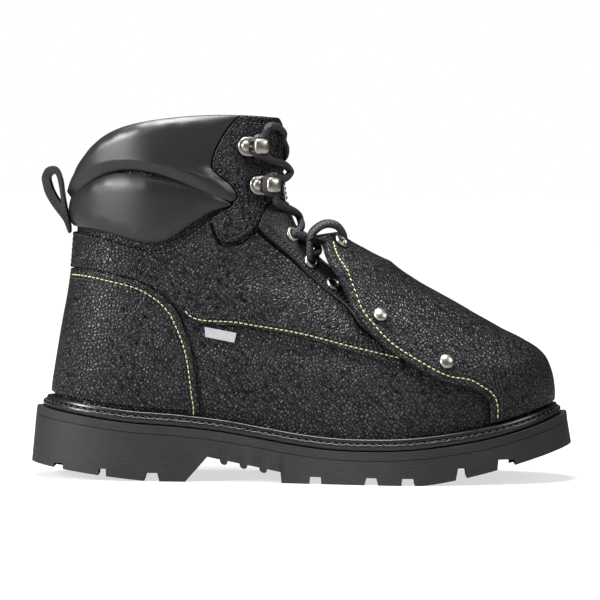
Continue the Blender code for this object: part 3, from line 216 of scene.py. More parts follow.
def linear(code):
    """Linear colour from an sRGB hex value."""
    out = []
    for k in (0, 2, 4):
        value = int(code[k:k + 2], 16) / 255
        out.append(value / 12.92 if value <= 0.04045 else ((value + 0.055) / 1.055) ** 2.4)
    return (out[0], out[1], out[2], 1.0)


def add_node(made, kind, links=(), **settings):
    """Node with its settings; links are (input, source node, source output)."""
    node = made.node_tree.nodes.new(kind)
    for name, value in settings.items():
        if name.startswith("in_"):
            node.inputs[name[3:].replace("_", " ")].default_value = value
        else:
            setattr(node, name, value)
    for target, source, output in links:
        made.node_tree.links.new(source.outputs[output], node.inputs[target])
    return node


def ramp_stops(node, stops):
    """Sets a colour ramp's stops: place and grey value, or place and colour."""
    ramp = node.color_ramp
    while len(ramp.elements) > len(stops):
        ramp.elements.remove(ramp.elements[-1])
    while len(ramp.elements) < len(stops):
        ramp.elements.new(0.5)
    for element, (place, value) in zip(ramp.elements, stops):
        element.position = place
        element.color = value if isinstance(value, tuple) else (value, value, value, 1.0)


def new_material(name, roughness, metallic=0.0, specular=0.5):
    made = bpy.data.materials.new(name)
    made.use_nodes = True
    shader = made.node_tree.nodes["Principled BSDF"]
    shader.inputs["Roughness"].default_value = roughness
    shader.inputs["Metallic"].default_value = metallic
    shader.inputs["Specular IOR Level"].default_value = specular
    return made, shader


def bumped(made, shader, source, output, strength, distance):
    """Raises the shader's surface by a node's value."""
    bump = add_node(made, "ShaderNodeBump", [("Height", source, output)], in_Strength=strength,
                    in_Distance=distance)
    made.node_tree.links.new(bump.outputs["Normal"], shader.inputs["Normal"])


def leather(name, dark, light, cell, grain, roughness, stretch=(1.0, 1.0, 1.0)):
    """Drum-dyed full-grain leather, embossed and plated: raised pebbles with narrow valleys.
    The tops are satin and the valleys dull; the base colour is painted shade, darker in the valleys, and
    painted light, a little lighter on the tops."""
    made, shader = new_material(name, roughness)
    link = made.node_tree.links.new
    place = add_node(made, "ShaderNodeTexCoord")
    turn = add_node(made, "ShaderNodeMapping", [("Vector", place, "Object")])
    turn.inputs["Scale"].default_value = stretch
    warp = add_node(made, "ShaderNodeTexNoise", [("Vector", turn, "Vector")], in_Scale=260.0, in_Detail=2.0)
    mixed = add_node(made, "ShaderNodeMix", data_type="VECTOR")
    mixed.inputs[0].default_value = 0.0006
    link(turn.outputs["Vector"], mixed.inputs[4])
    link(warp.outputs["Color"], mixed.inputs[5])
    cells = add_node(made, "ShaderNodeTexVoronoi", feature="DISTANCE_TO_EDGE", in_Scale=1.0 / cell)
    link(mixed.outputs[1], cells.inputs["Vector"])
    pebble_and_shade = add_node(made, "ShaderNodeValToRGB", [("Fac", cells, "Distance")])
    ramp_stops(pebble_and_shade, [(0.0, 0.0), (0.1, 0.35), (0.26, 0.8), (0.5, 1.0)])
    pebble_and_shade.color_ramp.interpolation = "EASE"
    fine = add_node(made, "ShaderNodeTexNoise", [("Vector", turn, "Vector")], in_Scale=900.0, in_Detail=3.0)
    broad = add_node(made, "ShaderNodeTexNoise", [("Vector", place, "Object")], in_Scale=28.0, in_Detail=3.0)
    height = add_node(made, "ShaderNodeMath", [(0, fine, "Fac")], operation="MULTIPLY_ADD")
    height.inputs[1].default_value = 0.06
    link(pebble_and_shade.outputs["Color"], height.inputs[2])
    bumped(made, shader, height, "Value", grain, 0.0004)
    # Base colour from dark in the valleys to light on the pebble tops: painted shade in the valleys, painted
    # light on the tops.
    tint = add_node(made, "ShaderNodeMix", data_type="RGBA")
    link(pebble_and_shade.outputs["Color"], tint.inputs[0])
    tint.inputs[6].default_value = linear(dark)
    tint.inputs[7].default_value = linear(light)
    link(tint.outputs[2], shader.inputs["Base Color"])
    sheen = add_node(made, "ShaderNodeMapRange", [("Value", pebble_and_shade, "Color")])
    sheen.inputs["To Min"].default_value = 0.5 - 0.45 * grain
    sheen.inputs["To Max"].default_value = 0.5
    link(sheen.outputs["Result"], shader.inputs["Specular IOR Level"])
    gloss = add_node(made, "ShaderNodeMapRange", [("Value", broad, "Fac")])
    gloss.inputs["From Min"].default_value = 0.3
    gloss.inputs["From Max"].default_value = 0.7
    gloss.inputs["To Min"].default_value = roughness - 0.06
    gloss.inputs["To Max"].default_value = roughness + 0.08
    link(gloss.outputs["Result"], shader.inputs["Roughness"])
    return made


# Dark colour: painted shade in the grain's valleys; light colour: painted light on the pebble tops.
PEBBLED = leather("pebbled_leather", "030303", "222226", 0.0020, 0.9, 0.38)
LINING, shader = new_material("lining_cloth", 0.95, specular=0.2)
place = add_node(LINING, "ShaderNodeTexCoord")
knit = add_node(LINING, "ShaderNodeTexVoronoi", [("Vector", place, "Object")], in_Scale=900.0)
bumped(LINING, shader, knit, "Distance", 0.5, 0.0004)
shader.inputs["Base Color"].default_value = linear("1a1a1c")


def pick(piece):
    """Selects one piece alone and makes it active."""
    bpy.ops.object.select_all(action="DESELECT")
    piece.select_set(True)
    bpy.context.view_layer.objects.active = piece


def finish_piece(name, points, faces, looks, nodes, slot, face_looks=None, angle=40):
    """Piece from points and faces in the last's own frame, set in the row frame."""
    mesh = bpy.data.meshes.new(name)
    mesh.from_pydata((np.asarray(points) + SHIFT).tolist(), [], faces)
    for look in looks:
        mesh.materials.append(look)
    if face_looks is not None:
        mesh.polygons.foreach_set("material_index", face_looks)
    work = bmesh.new()
    work.from_mesh(mesh)
    bmesh.ops.remove_doubles(work, verts=work.verts, dist=0.00001)
    bmesh.ops.recalc_face_normals(work, faces=work.faces)
    if work.calc_volume(signed=True) < 0:
        bmesh.ops.reverse_faces(work, faces=work.faces)
    work.to_mesh(mesh)
    work.free()
    piece = bpy.data.objects.new(name, mesh)
    bpy.context.collection.objects.link(piece)
    pick(piece)
    bpy.ops.object.shade_smooth_by_angle(angle=math.radians(angle))
    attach(piece, "root")
    if nodes:
        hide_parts(*nodes)
    return piece


# Soft creases of the leather, placed in side view: start and end as shares along
# FOOT_LENGTH and up SHAFT, depth in metres (a trough is below zero), half width in metres
CREASES = (
    (0.330, 0.520, 0.480, 0.430, -.0010, 0.0050), (0.300, 0.455, 0.500, 0.380, 0.0008, 0.0060),
    (0.420, 0.300, 0.560, 0.210, -.0009, 0.0060), (0.470, 0.200, 0.640, 0.130, 0.0008, 0.0070),
    (0.250, 0.580, 0.330, 0.500, 0.0008, 0.0050), (0.180, 0.520, 0.300, 0.430, -.0007, 0.0070),
    (0.060, 0.560, 0.200, 0.530, -.0006, 0.0050), (0.560, 0.260, 0.640, 0.180, -.0008, 0.0045),
    (0.330, 0.230, 0.450, 0.120, 0.0006, 0.0080), (0.380, 0.680, 0.395, 0.850, -.0005, 0.0030),
)


def creased(points):
    """Height of the listed creases at points of the skin."""
    x = (points[..., 0] - FOOT_BACK) / FOOT_LENGTH
    up = (points[..., 2] - HEEL_STACK) / SHAFT
    flat = np.stack([x * FOOT_LENGTH, up * SHAFT], -1)
    total = np.zeros(points.shape[:-1])
    for x1, up1, x2, up2, depth, wide in CREASES:
        a = np.array([x1 * FOOT_LENGTH, up1 * SHAFT])
        b = np.array([x2 * FOOT_LENGTH, up2 * SHAFT])
        share = np.clip(((flat - a) @ (b - a)) / ((b - a) @ (b - a)), 0, 1)
        away = np.linalg.norm(flat - a - share[..., None] * (b - a), axis=-1)
        fade = np.sin(np.pi * np.clip(share * 0.9 + 0.05, 0, 1)) ** 0.5
        total += depth * fade * np.exp(-(away / wide) ** 2)
    return total


CORNER_TURN = 0.14
CORNER_START = 16.2
CORNER_SPAN = 0.8


def corner_turn(levels, most):
    """How far the rounded top corner of the throat draws back at some levels."""
    share = np.clip((levels - CORNER_START) / CORNER_SPAN, 0, most)
    return CORNER_TURN * (1 - np.sqrt(1 - share ** 2))


across = 150
levels = np.linspace(0, TOP, 130)
opening = np.array([max(float(ring_at(v)[COL["gap"]]), 0.0) if v > 9 else 0.0 for v in levels])
shares = np.linspace(-1, 1, 2 * across + 1)
opening = opening + corner_turn(levels, 0.999)
turns = shares[:, None] * (math.pi - opening)[None, :]
heights = np.broadcast_to(levels[None, :], turns.shape)
plain = skin_base(turns, heights)
outer = skin(turns, heights, creased(plain))
inner = skin(turns, heights, np.full(turns.shape, -WALL))
inner[:, 0, 2] = outer[:, 0, 2]
rows = len(levels)
size = turns.size
faces = []
looks = []
for i in range(2 * across):
    for j in range(rows - 1):
        a = i * rows + j
        b = a + rows
        faces.append((a, b, b + 1, a + 1))
        faces.append((size + a, size + a + 1, size + b + 1, size + b))
        looks += [0, 1]
    for j in (0, rows - 1):
        a = i * rows + j
        faces.append((a, a + rows, size + a + rows, size + a))
        looks.append(0)
for i in (0, 2 * across):
    for j in range(rows - 1):
        if opening[j + 1] > 0:
            a = i * rows + j
            faces.append((a, a + 1, size + a + 1, size + a))
            looks.append(0)
finish_piece(
    "boot_upper", np.concatenate([outer.reshape(-1, 3), inner.reshape(-1, 3)]), faces,
    [PEBBLED, LINING], ["upper"], "leather", looks,
)

# Heel counter: outside panel of the same leather, skived at its edge and sewn with a pale row
# and a black row inside it.
BASE = 0.0007
PANEL = 0.0012
STRAP_TURN = 0.17
WELT_HIGH = 0.0074
COUNTER_TOP = (
    (0.0420, 0.4945), (0.0629, 0.4949), (0.1233, 0.4774), (0.1813, 0.4514), (0.2194, 0.4153),
    (0.2463, 0.3701),
)
COUNTER_FRONT = (
    (0.2463, 0.3701), (0.2657, 0.3034), (0.2813, 0.2249), (0.2898, 0.1395), (0.2975, 0.062),
)
COLLAR_LOW = (
    (0.0495, 0.6130), (0.0947, 0.6000), (0.1420, 0.5780), (0.1989, 0.5600), (0.2339, 0.5695),
    (0.2753, 0.6164), (0.3131, 0.6633),
)


SEARCH_TURNS = np.linspace(0.0, math.pi, 121)
SEARCH_LEVELS = np.linspace(0.0, TOP, 171)


def locate(spots, off=0.0):
    """Turn and level on the lateral side of points given in side view."""
    spots = np.array(spots, float)
    goal = np.stack([spots[:, 0] * FOOT_LENGTH + FOOT_BACK, spots[:, 1] * SHAFT + HEEL_STACK], -1)
    turns, levels = np.meshgrid(SEARCH_TURNS, SEARCH_LEVELS, indexing="ij")
    lift = off(turns, levels) if callable(off) else off
    field = skin(turns, levels, lift)[..., [0, 2]].reshape(-1, 2)
    near = np.argmin(((goal[:, None, :] - field[None]) ** 2).sum(-1), axis=1)
    place = np.stack([turns.reshape(-1)[near], levels.reshape(-1)[near]], -1)
    for _ in range(12):
        base = flat_view(place, off)
        step_turn = (flat_view(place + [1e-4, 0], off) - base) / 1e-4
        step_level = (flat_view(place + [0, 1e-4], off) - base) / 1e-4
        jac = np.stack([step_turn, step_level], -1)
        left = np.einsum("nij,nik->njk", jac, jac) + np.eye(2) * 1e-8
        right = np.einsum("nij,ni->nj", jac, goal - base)
        move = np.linalg.solve(left, right[..., None])[..., 0]
        place = place + np.clip(move, [-0.1, -0.5], [0.1, 0.5])
        place[:, 0] = np.clip(place[:, 0], 0.0, math.pi)
        place[:, 1] = np.clip(place[:, 1], 0.0, TOP)
    return place


def flat_view(place, off):
    lift = off(place[:, 0], place[:, 1]) if callable(off) else off
    return skin(place[:, 0], place[:, 1], lift)[:, [0, 2]]


def even(line, count):
    """Smooth line through turn and level pairs, at even steps on the skin."""
    line = np.array(line, float)
    points = skin_base(line[:, 0], line[:, 1])
    run = np.concatenate([[0], np.cumsum(np.linalg.norm(np.diff(points, axis=0), axis=1))])
    at = np.linspace(0, run[-1], count + 1)
    return np.stack([smooth_table(np.stack([run, line[:, k]], -1), at) for k in (0, 1)], -1)


def join(*lines):
    out = [np.array(lines[0], float)]
    for line in lines[1:]:
        out.append(np.array(line, float)[1:])
    return np.vstack(out)


def mirror(line):
    line = np.array(line, float).copy()
    line[..., 0] = -line[..., 0]
    return line


def straight(start, end, count):
    mix = np.linspace(0, 1, count + 1)[:, None]
    return np.array(start, float) * (1 - mix) + np.array(end, float) * mix


def steps(count, length, inset):
    """Shares of a side with extra steps near both ends, for a rounded edge."""
    near = np.array([0.0, 0.00012, 0.0003, 0.0006, 0.0010, 0.0015]) + inset
    near = near[near < length * 0.3] / length
    inner = np.linspace(near[-1], 1 - near[-1], count + 1)
    return np.concatenate([near[:-1], inner, 1 - near[:-1][::-1]])


def coons(low, right, top, left, across, up, inset=0.0003):
    """Grid of turn and level pairs between four edge lines, with closer steps at its edges."""
    def run(line):
        return np.linalg.norm(np.diff(skin_base(line[:, 0], line[:, 1]), axis=0), axis=1).sum()

    def read(line, at):
        marks = np.linspace(0, 1, len(line))
        return np.stack([np.interp(at, marks, line[:, k]) for k in (0, 1)], -1)

    u = steps(across, (run(low) + run(top)) / 2, inset)
    v = steps(up, (run(left) + run(right)) / 2, inset)
    b = read(low, u)[:, None]
    t = read(top, u)[:, None]
    l = read(left, v)[None]
    r = read(right, v)[None]
    uu = u[:, None, None]
    vv = v[None, :, None]
    corners = (1 - uu) * (1 - vv) * low[0] + uu * (1 - vv) * low[-1]
    corners = corners + (1 - uu) * vv * top[0] + uu * vv * top[-1]
    return (1 - vv) * b + vv * t + (1 - uu) * l + uu * r - corners


def edge_distance(points):
    """Distance of each grid point to the nearest edge of its grid."""
    out = np.full(points.shape[:2], 1.0)
    for axis in (0, 1):
        gaps = np.linalg.norm(np.diff(points, axis=axis), axis=-1)
        run = np.cumsum(gaps, axis=axis)
        pad = np.zeros((1, gaps.shape[1])) if axis == 0 else np.zeros((gaps.shape[0], 1))
        run = np.concatenate([pad, run], axis=axis)
        total = run[-1:] if axis == 0 else run[:, -1:]
        out = np.minimum(out, np.minimum(run, total - run))
    return out


def near_lines(points, lines):
    """Distance of grid points to the nearest of some lines of points."""
    flat = points.reshape(-1, 3)
    out = np.full(len(flat), 1.0)
    for line in lines:
        a = line[:-1]
        b = line[1:] - a
        for start in range(0, len(flat), 4000):
            part = flat[start:start + 4000, None] - a[None]
            share = np.clip((part * b).sum(-1) / np.maximum((b * b).sum(-1), 1e-12), 0, 1)
            away = np.linalg.norm(part - share[..., None] * b, axis=-1).min(1)
            out[start:start + 4000] = np.minimum(out[start:start + 4000], away)
    return out.reshape(points.shape[:-1])


def on_skin(line, off=0.0):
    return skin(line[:, 0], line[:, 1], np.full(len(line), off))


def slab(inner, outer):
    """Points and faces of a closed piece between two grids of points."""
    across, up = inner.shape[0], inner.shape[1]
    size = across * up
    faces = []
    for i in range(across - 1):
        for j in range(up - 1):
            a = i * up + j
            b = a + up
            faces.append((a, a + 1, b + 1, b))
            faces.append((size + a, size + b, size + b + 1, size + a + 1))
    rim = [i * up for i in range(across)]
    rim += [(across - 1) * up + j for j in range(1, up)]
    rim += [i * up + up - 1 for i in range(across - 2, -1, -1)]
    rim += list(range(up - 2, 0, -1))
    for k, a in enumerate(rim):
        b = rim[(k + 1) % len(rim)]
        faces.append((a, b, size + b, size + a))
    return np.concatenate([inner.reshape(-1, 3), outer.reshape(-1, 3)]), faces


def leather_patch(name, grid, low, high, look, nodes, slot, rows=(), round_edge=0.0009, swell=None):
    """Leather patch: rounded edge, leather drawn down along its stitch rows, shared creases."""
    turns, levels = grid[..., 0], grid[..., 1]
    plain = skin_base(turns, levels)
    fold = creased(plain)
    away = edge_distance(plain)
    drop = round_edge * (1 - np.sqrt(1 - np.clip(1 - away / round_edge, 0, 1) ** 2))
    groove = 0.0
    if len(rows):
        groove = 0.00035 * np.exp(-(near_lines(plain, [on_skin(row) for row in rows]) / 0.0011) ** 2)
    base = low(turns, levels) if callable(low) else low
    lift = high(turns, levels) if callable(high) else high
    lift = lift + fold - np.minimum(drop, (lift - base) * 0.75) - groove
    if swell is not None:
        lift = lift + swell(plain, away)
    lift = np.maximum(lift, base + fold + 0.0002)
    points, faces = slab(skin(turns, levels, base + fold), skin(turns, levels, lift))
    return finish_piece(name, points, faces, [look], nodes, slot)


def beside(line, distance):
    """Line moved sideways over the skin, to the left as seen from outside."""
    turns, levels = line[:, 0], line[:, 1]
    here = skin_base(turns, levels)
    ahead = np.gradient(here, axis=0)
    ahead /= np.linalg.norm(ahead, axis=1, keepdims=True)
    by_turn = (skin_base(turns + 0.01, levels) - skin_base(turns - 0.01, levels)) / 0.02
    by_level = (skin_base(turns, levels + 0.05) - skin_base(turns, levels - 0.05)) / 0.1
    normal = np.cross(by_turn, by_level)
    normal /= np.linalg.norm(normal, axis=1, keepdims=True)
    move = np.cross(normal, ahead) * distance
    jac = np.stack([by_turn, by_level], -1)
    left = np.einsum("nij,nik->njk", jac, jac)
    right = np.einsum("nij,ni->nj", jac, move)
    return line + np.linalg.solve(left, right[..., None])[..., 0]


def thread(name, code, roughness):
    """Bonded polyester sewing thread: round, slightly glossy, with a fine twist."""
    made, shader = new_material(name, roughness)
    place = add_node(made, "ShaderNodeTexCoord")
    twist = add_node(made, "ShaderNodeTexNoise", [("Vector", place, "Object")], in_Scale=2200.0)
    bumped(made, shader, twist, "Fac", 0.4, 0.0002)
    shader.inputs["Base Color"].default_value = linear(code)
    return made


PALE_THREAD = thread("pale_thread", "a8a47c", 0.55)
BLACK_THREAD = thread("black_thread", "141415", 0.5)


def stitch_row(name, lines, lift, look, slot, pitch=0.0029, length=0.0023, radius=0.00038):
    """Rows of single stitches: each dips into the leather at both ends."""
    points = []
    faces = []
    count = 6
    rings = (
        (-0.5, 0.35, -1.2), (-0.38, 0.85, -0.1), (0.0, 1.0, 0.35), (0.38, 0.85, -0.1), (0.5, 0.35, -1.2),
    )
    for line in lines:
        spots = skin_base(line[:, 0], line[:, 1])
        run = np.concatenate([[0], np.cumsum(np.linalg.norm(np.diff(spots, axis=0), axis=1))])
        number = max(int(run[-1] / pitch), 1)
        at = (np.arange(number) + 0.5) * run[-1] / number
        middle = np.stack([np.interp(at, run, line[:, k]) for k in (0, 1)], -1)
        ahead_of = np.stack([np.interp(at + 0.0003, run, line[:, k]) for k in (0, 1)], -1)
        high = lift(middle[:, 0], middle[:, 1]) if callable(lift) else np.full(number, lift)
        high = high + creased(skin_base(middle[:, 0], middle[:, 1]))
        here = skin(middle[:, 0], middle[:, 1], high)
        ahead = skin(ahead_of[:, 0], ahead_of[:, 1], high) - here
        ahead /= np.linalg.norm(ahead, axis=1, keepdims=True) + 1e-12
        normal = skin(middle[:, 0], middle[:, 1], high + 0.001) - here
        normal /= np.linalg.norm(normal, axis=1, keepdims=True)
        side = np.cross(ahead, normal)
        for p, t, n, s in zip(here, ahead, normal, side):
            first = len(points)
            for along, wide, rise in rings:
                centre = p + t * along * length + n * rise * radius
                for k in range(count):
                    angle = 2 * math.pi * k / count
                    points.append(centre + (n * math.cos(angle) + s * math.sin(angle)) * radius * wide)
            for r in range(len(rings) - 1):
                for k in range(count):
                    m = (k + 1) % count
                    a = first + r * count
                    faces.append((a + k, a + m, a + count + m, a + count + k))
            faces.append(tuple(first + k for k in range(count)))
            faces.append(tuple(first + (len(rings) - 1) * count + k for k in range(count - 1, -1, -1)))
    return finish_piece(name, points, faces, [look], [], slot, angle=60)


def above_welt(turn, off=0.0):
    """Level where the skin clears the bead of the welt."""
    levels = np.linspace(0, 4, 81)
    spots = skin(np.full(81, turn), levels, np.full(81, off))
    clear = sole_top(spots[:, 0]) + WELT_HIGH + 3 * GAP
    return float(np.interp(0.0, spots[:, 2] - clear, levels))


def welt_line(start, end, count, off=0.0):
    return np.array([(turn, above_welt(turn, off)) for turn in np.linspace(start, end, count + 1)])


def seam(table, count, first=None, last=None):
    """Seam line on the lateral side from a table in side view."""
    line = locate(table)
    if first is not None:
        line[0] = first
    if last is not None:
        line[-1] = last
    return even(line, count)


strap_low = float(locate([COUNTER_TOP[0]])[0, 1])
strap_high = float(locate([COLLAR_LOW[0]])[0, 1])
seam_counter = seam(COUNTER_TOP, 60, first=(STRAP_TURN, strap_low))
seam_front = seam(COUNTER_FRONT, 50, first=seam_counter[-1])
foot_turn = seam_front[-1, 0]
seam_front[-1, 1] = above_welt(foot_turn)
strap_foot = straight((-STRAP_TURN, strap_low), (STRAP_TURN, strap_low), 20)
top_line = join(mirror(seam_counter)[::-1], strap_foot, seam_counter)
grid = coons(
    welt_line(-foot_turn, foot_turn, 120), seam_front[::-1], top_line, mirror(seam_front)[::-1], 170, 60,
)
counter_edge = join(seam_counter, seam_front)
counter_pale = beside(counter_edge, -0.0040)
counter_black = beside(counter_edge, -0.0062)
counter_rows = [counter_pale, counter_black, mirror(counter_pale), mirror(counter_black)]
leather_patch(
    "counter_panel", grid, BASE, BASE + PANEL, PEBBLED, ["heel_counter"], "leather", counter_rows,
)
stitch_row("counter_pale_stitches", counter_rows[0::2], BASE + PANEL, PALE_THREAD, "lace_cord")
stitch_row("counter_black_stitches", counter_rows[1::2], BASE + PANEL, BLACK_THREAD, "lace_cord")

# Backstrap: a narrow strip of leather over the back seam, sewn along both sides.
strap_side = straight((STRAP_TURN, strap_low), (STRAP_TURN, strap_high), 30)
strap_head = straight((-STRAP_TURN, strap_high), (STRAP_TURN, strap_high), 20)
grid = coons(strap_foot, strap_side, strap_head, mirror(strap_side), 24, 30)
strap_row = straight((STRAP_TURN * 0.72, strap_low), (STRAP_TURN * 0.72, strap_high), 30)
leather_patch(
    "back_strip", grid, BASE, BASE + PANEL * 1.3, PEBBLED, ["backstrap"], "leather",
    [strap_row, mirror(strap_row)],
)
stitch_row(
    "back_strip_stitches", [strap_row, mirror(strap_row)], BASE + PANEL * 1.3, BLACK_THREAD, "lace_cord",
)

# Quarters: side panels whose lower edge is folded under and sewn down with pale thread.
VAMP_SEAM = (
    (0.2463, 0.3701), (0.2608, 0.3430), (0.3739, 0.3090), (0.4958, 0.2780), (0.6018, 0.2362),
    (0.6500, 0.2180), (0.7000, 0.2000),
)
COLLAR_TIP = ((0.3131, 0.6633), (0.3548, 0.7028))
HOOK_LOW = (
    (0.3131, 0.6633), (0.3177, 0.6379), (0.3322, 0.5921), (0.3481, 0.5831), (0.3622, 0.5876),
    (0.4042, 0.6356),
)
HOOK_FORE = ((0.4042, 0.6356), (0.4205, 0.7006), (0.4435, 0.7328))
EYESTAY = ((0.4042, 0.6356), (0.4852, 0.5136), (0.5466, 0.4237), (0.6187, 0.3113), (0.6290, 0.2995))
QUARTER_UNDER = ((0.6290, 0.2995), (0.6620, 0.2590), (0.6980, 0.2160))
seam_vamp = seam(VAMP_SEAM, 110, first=seam_counter[-1])
seam_collar = seam(COLLAR_LOW, 60, first=(STRAP_TURN, strap_high))
seam_hook = seam(HOOK_LOW, 34, first=seam_collar[-1])
seam_fore = seam(HOOK_FORE, 20, first=seam_hook[-1])
seam_eyestay = seam(EYESTAY, 52, first=seam_hook[-1])
seam_under = seam(QUARTER_UNDER, 24, first=seam_eyestay[-1])
quarter_top = join(seam_collar, seam_hook, seam_eyestay, seam_under)
quarter_low = join(seam_counter, seam_vamp)
grid = coons(
    quarter_low, straight(quarter_low[-1], quarter_top[-1], 20), quarter_top,
    straight(quarter_low[0], quarter_top[0], 30), 190, 70,
)
vamp_row = beside(seam_vamp, 0.0038)[3:]
vamp_row_two = beside(seam_vamp, 0.0058)[3:]
BOTH_SIDES = (("lateral", lambda line: line), ("medial", mirror))
for word, turned_over in BOTH_SIDES:
    leather_patch(
        "quarter_panel_" + word, turned_over(grid), BASE, BASE + PANEL, PEBBLED, ["quarter_" + word],
        "leather", [turned_over(vamp_row), turned_over(vamp_row_two)], round_edge=0.0012,
    )
stitch_row("quarter_pale_stitches", [vamp_row, mirror(vamp_row)], BASE + PANEL, PALE_THREAD, "lace_cord")
stitch_row(
    "quarter_black_stitches", [vamp_row_two, mirror(vamp_row_two)], BASE + PANEL, BLACK_THREAD, "lace_cord",
)

# Facings along the throat, double sewn: the lower one of smooth plated leather, the upper one, which carries
# the hooks, of the pebbled leather.
GAP_UP = 0.0010
FACING = 0.0027
EDGE = 0.010
# Dark colour: painted shade in the grain's valleys; light colour: painted light on the tops.
SMOOTH = leather("smooth_leather", "121213", "1a1a1c", 0.0014, 0.3, 0.38)


def throat_turn(level):
    """Turn of the facings' front edge at a level."""
    return math.pi - float(ring_at(level)[COL["gap"]]) - EDGE


def throat_edge(low, high, count):
    levels = np.linspace(low, high, count + 1)
    corner = corner_turn(levels, 0.98)
    edge = [throat_turn(v) - c for v, c in zip(levels, corner)]
    return np.stack([edge, levels], -1)


COLLAR_FRONT = (
    (0.3548, 0.7028), (0.3560, 0.7100), (0.3640, 0.7282), (0.3544, 0.7638), (0.3304, 0.7955),
    (0.3134, 0.8260), (0.3155, 0.8559), (0.3304, 0.9124), (0.3534, 0.9661),
    (0.3710, 0.9972),
)
SPLIT = 13.85
eyestay_throat = throat_edge(10.3, SPLIT, 50)
seam_fore[-1] = eyestay_throat[-1]
grid = coons(
    seam_eyestay[::-1], seam_fore, eyestay_throat, straight(seam_eyestay[-1], eyestay_throat[0], 10), 70, 24,
)
inner_rows = [beside(seam_eyestay[::-1], -0.0016)[3:-3], beside(seam_eyestay[::-1], -0.0034)[3:-3]]
inner_rows.append(beside(eyestay_throat, 0.0022)[3:-3])
for word, turned_over in BOTH_SIDES:
    leather_patch(
        "eyelet_strip_" + word, turned_over(grid), GAP_UP, BASE + FACING, SMOOTH,
        ["eyelet_facing_" + word], "smooth_leather", [turned_over(row) for row in inner_rows],
    )
seam_tip = seam(COLLAR_TIP, 20, first=seam_collar[-1])
seam_rise = seam(COLLAR_FRONT, 70)
seam_rise[-1, 1] = TOP
hook_back = join(seam_hook[14::-1], seam_tip, seam_rise)
hook_low = join(seam_hook[14:], seam_fore)
hook_throat = throat_edge(SPLIT, TOP, 60)
hook_top = straight(hook_back[-1], hook_throat[-1], 20)
grid = coons(hook_low, hook_throat, hook_top, hook_back, 60, 90)
hook_rows = [
    beside(join(seam_tip, seam_rise), -0.0022)[4:-3], beside(hook_throat, 0.0022)[3:-8],
    beside(hook_low, 0.0022)[2:-5], beside(hook_top, -0.0022)[3:-3], beside(hook_throat, 0.0042)[3:-8],
]
for word, turned_over in BOTH_SIDES:
    leather_patch(
        "hook_strip_" + word, turned_over(grid), GAP_UP, BASE + FACING, PEBBLED, ["hook_facing_" + word],
        "leather", [turned_over(row) for row in hook_rows],
    )
all_rows = []
for row in inner_rows + hook_rows:
    edge = np.array([throat_turn(v) for v in row[:, 1]])
    all_rows.append(row[row[:, 0] < edge - 0.03])
stitch_row(
    "facing_stitches", all_rows + [mirror(row) for row in all_rows], BASE + FACING, BLACK_THREAD,
    "lace_cord", pitch=0.0026, length=0.0021,
)

# Collar pads: soft smooth leather over foam, two bands with a sewn seam between them.
PAD_EDGE = 0.0022
PAD_BULGE = 0.0045
PAD_LOW_BULGE = 0.0023
# Dark colour: painted shade in the grain's valleys; light colour: painted light on the tops.
COLLAR_SOFT = leather("collar_leather", "19191b", "1c1c1f", 0.0010, 0.08, 0.40)
COLLAR_DIVIDE = (
    (0.0760, 0.7825), (0.1219, 0.8181), (0.1597, 0.8232), (0.2166, 0.8040), (0.2739, 0.7672),
    (0.3392, 0.7200), (0.3490, 0.7125),
)
COLLAR_DIVIDE_BACK = 0.7294
divide_back = float(np.interp(
    COLLAR_DIVIDE_BACK * SHAFT + HEEL_STACK, skin_base(0.0, SEARCH_LEVELS)[:, 2], SEARCH_LEVELS,
))
seam_divide = even(np.vstack([[(0.0, divide_back)], locate(COLLAR_DIVIDE)]), 90)
collar_low = join(seam_collar, seam_tip)
low_edge = join(mirror(collar_low)[::-1], strap_head, collar_low)
divide_line = join(mirror(seam_divide)[::-1], seam_divide)
end_line = straight(low_edge[-1], divide_line[-1], 20)
taper = np.clip(8 * (1 - np.abs(np.linspace(-1, 1, len(divide_line)))), 0, 1)[:, None]
tucked = divide_line + (beside(divide_line, 0.0032) - divide_line) * taper
lapped = divide_line + (beside(divide_line, -0.0022) - divide_line) * taper
low_grid = coons(low_edge, end_line, tucked, mirror(end_line), 200, 40)
rise_line = seam_rise[3:].copy()
rise_line[0] = divide_line[-1]
rim_line = np.stack([
    np.linspace(-rise_line[-1, 0], rise_line[-1, 0], 181), np.full(181, float(TOP)),
], -1)
top_grid = coons(lapped, rise_line, rim_line, mirror(rise_line), 200, 60)


def pad_swell(bulge, wrinkle):
    """Foam under leather: full in the middle, with small gathers that run into the seams."""
    def lift(plain, away):
        across, up = away.shape
        u = np.linspace(-1, 1, across)[:, None]
        reach = np.clip(away / 0.011, 0, 1)
        full = (1 - (1 - reach) ** 2.4) * np.clip((1 - np.abs(u) ** 6), 0, 1)
        round_run = np.arctan2(plain[..., 1], plain[..., 0] + 0.09)
        gather = np.sin(round_run * 17 + 1.3 * np.sin(round_run * 5.0 + 0.6))
        gather = gather * np.sin(round_run * 7.0 + plain[..., 2] * 90 + 1.0)
        near = np.exp(-((away - 0.004) / 0.0035) ** 2)
        return bulge * full + wrinkle * gather * near
    return lift


pad = leather_patch(
    "collar_low_band", low_grid, BASE, BASE + PAD_EDGE, COLLAR_SOFT, ["collar_lower_pad"],
    "collar_leather", (), 0.0009, pad_swell(PAD_LOW_BULGE, 0.00030),
)
pad = leather_patch(
    "collar_top_band", top_grid, BASE, BASE + PAD_EDGE, COLLAR_SOFT, ["collar_top_pad"],
    "collar_leather", (), 0.0009, pad_swell(PAD_BULGE, 0.00028),
)
low_row = beside(seam_collar, -0.0014)
divide_row = beside(seam_divide, -0.0008)[:-4]
stitch_row(
    "collar_stitches", [low_row, mirror(low_row), divide_row, mirror(divide_row)], BASE + 0.0017,
    BLACK_THREAD, "lace_cord", pitch=0.0026, length=0.0021,
)

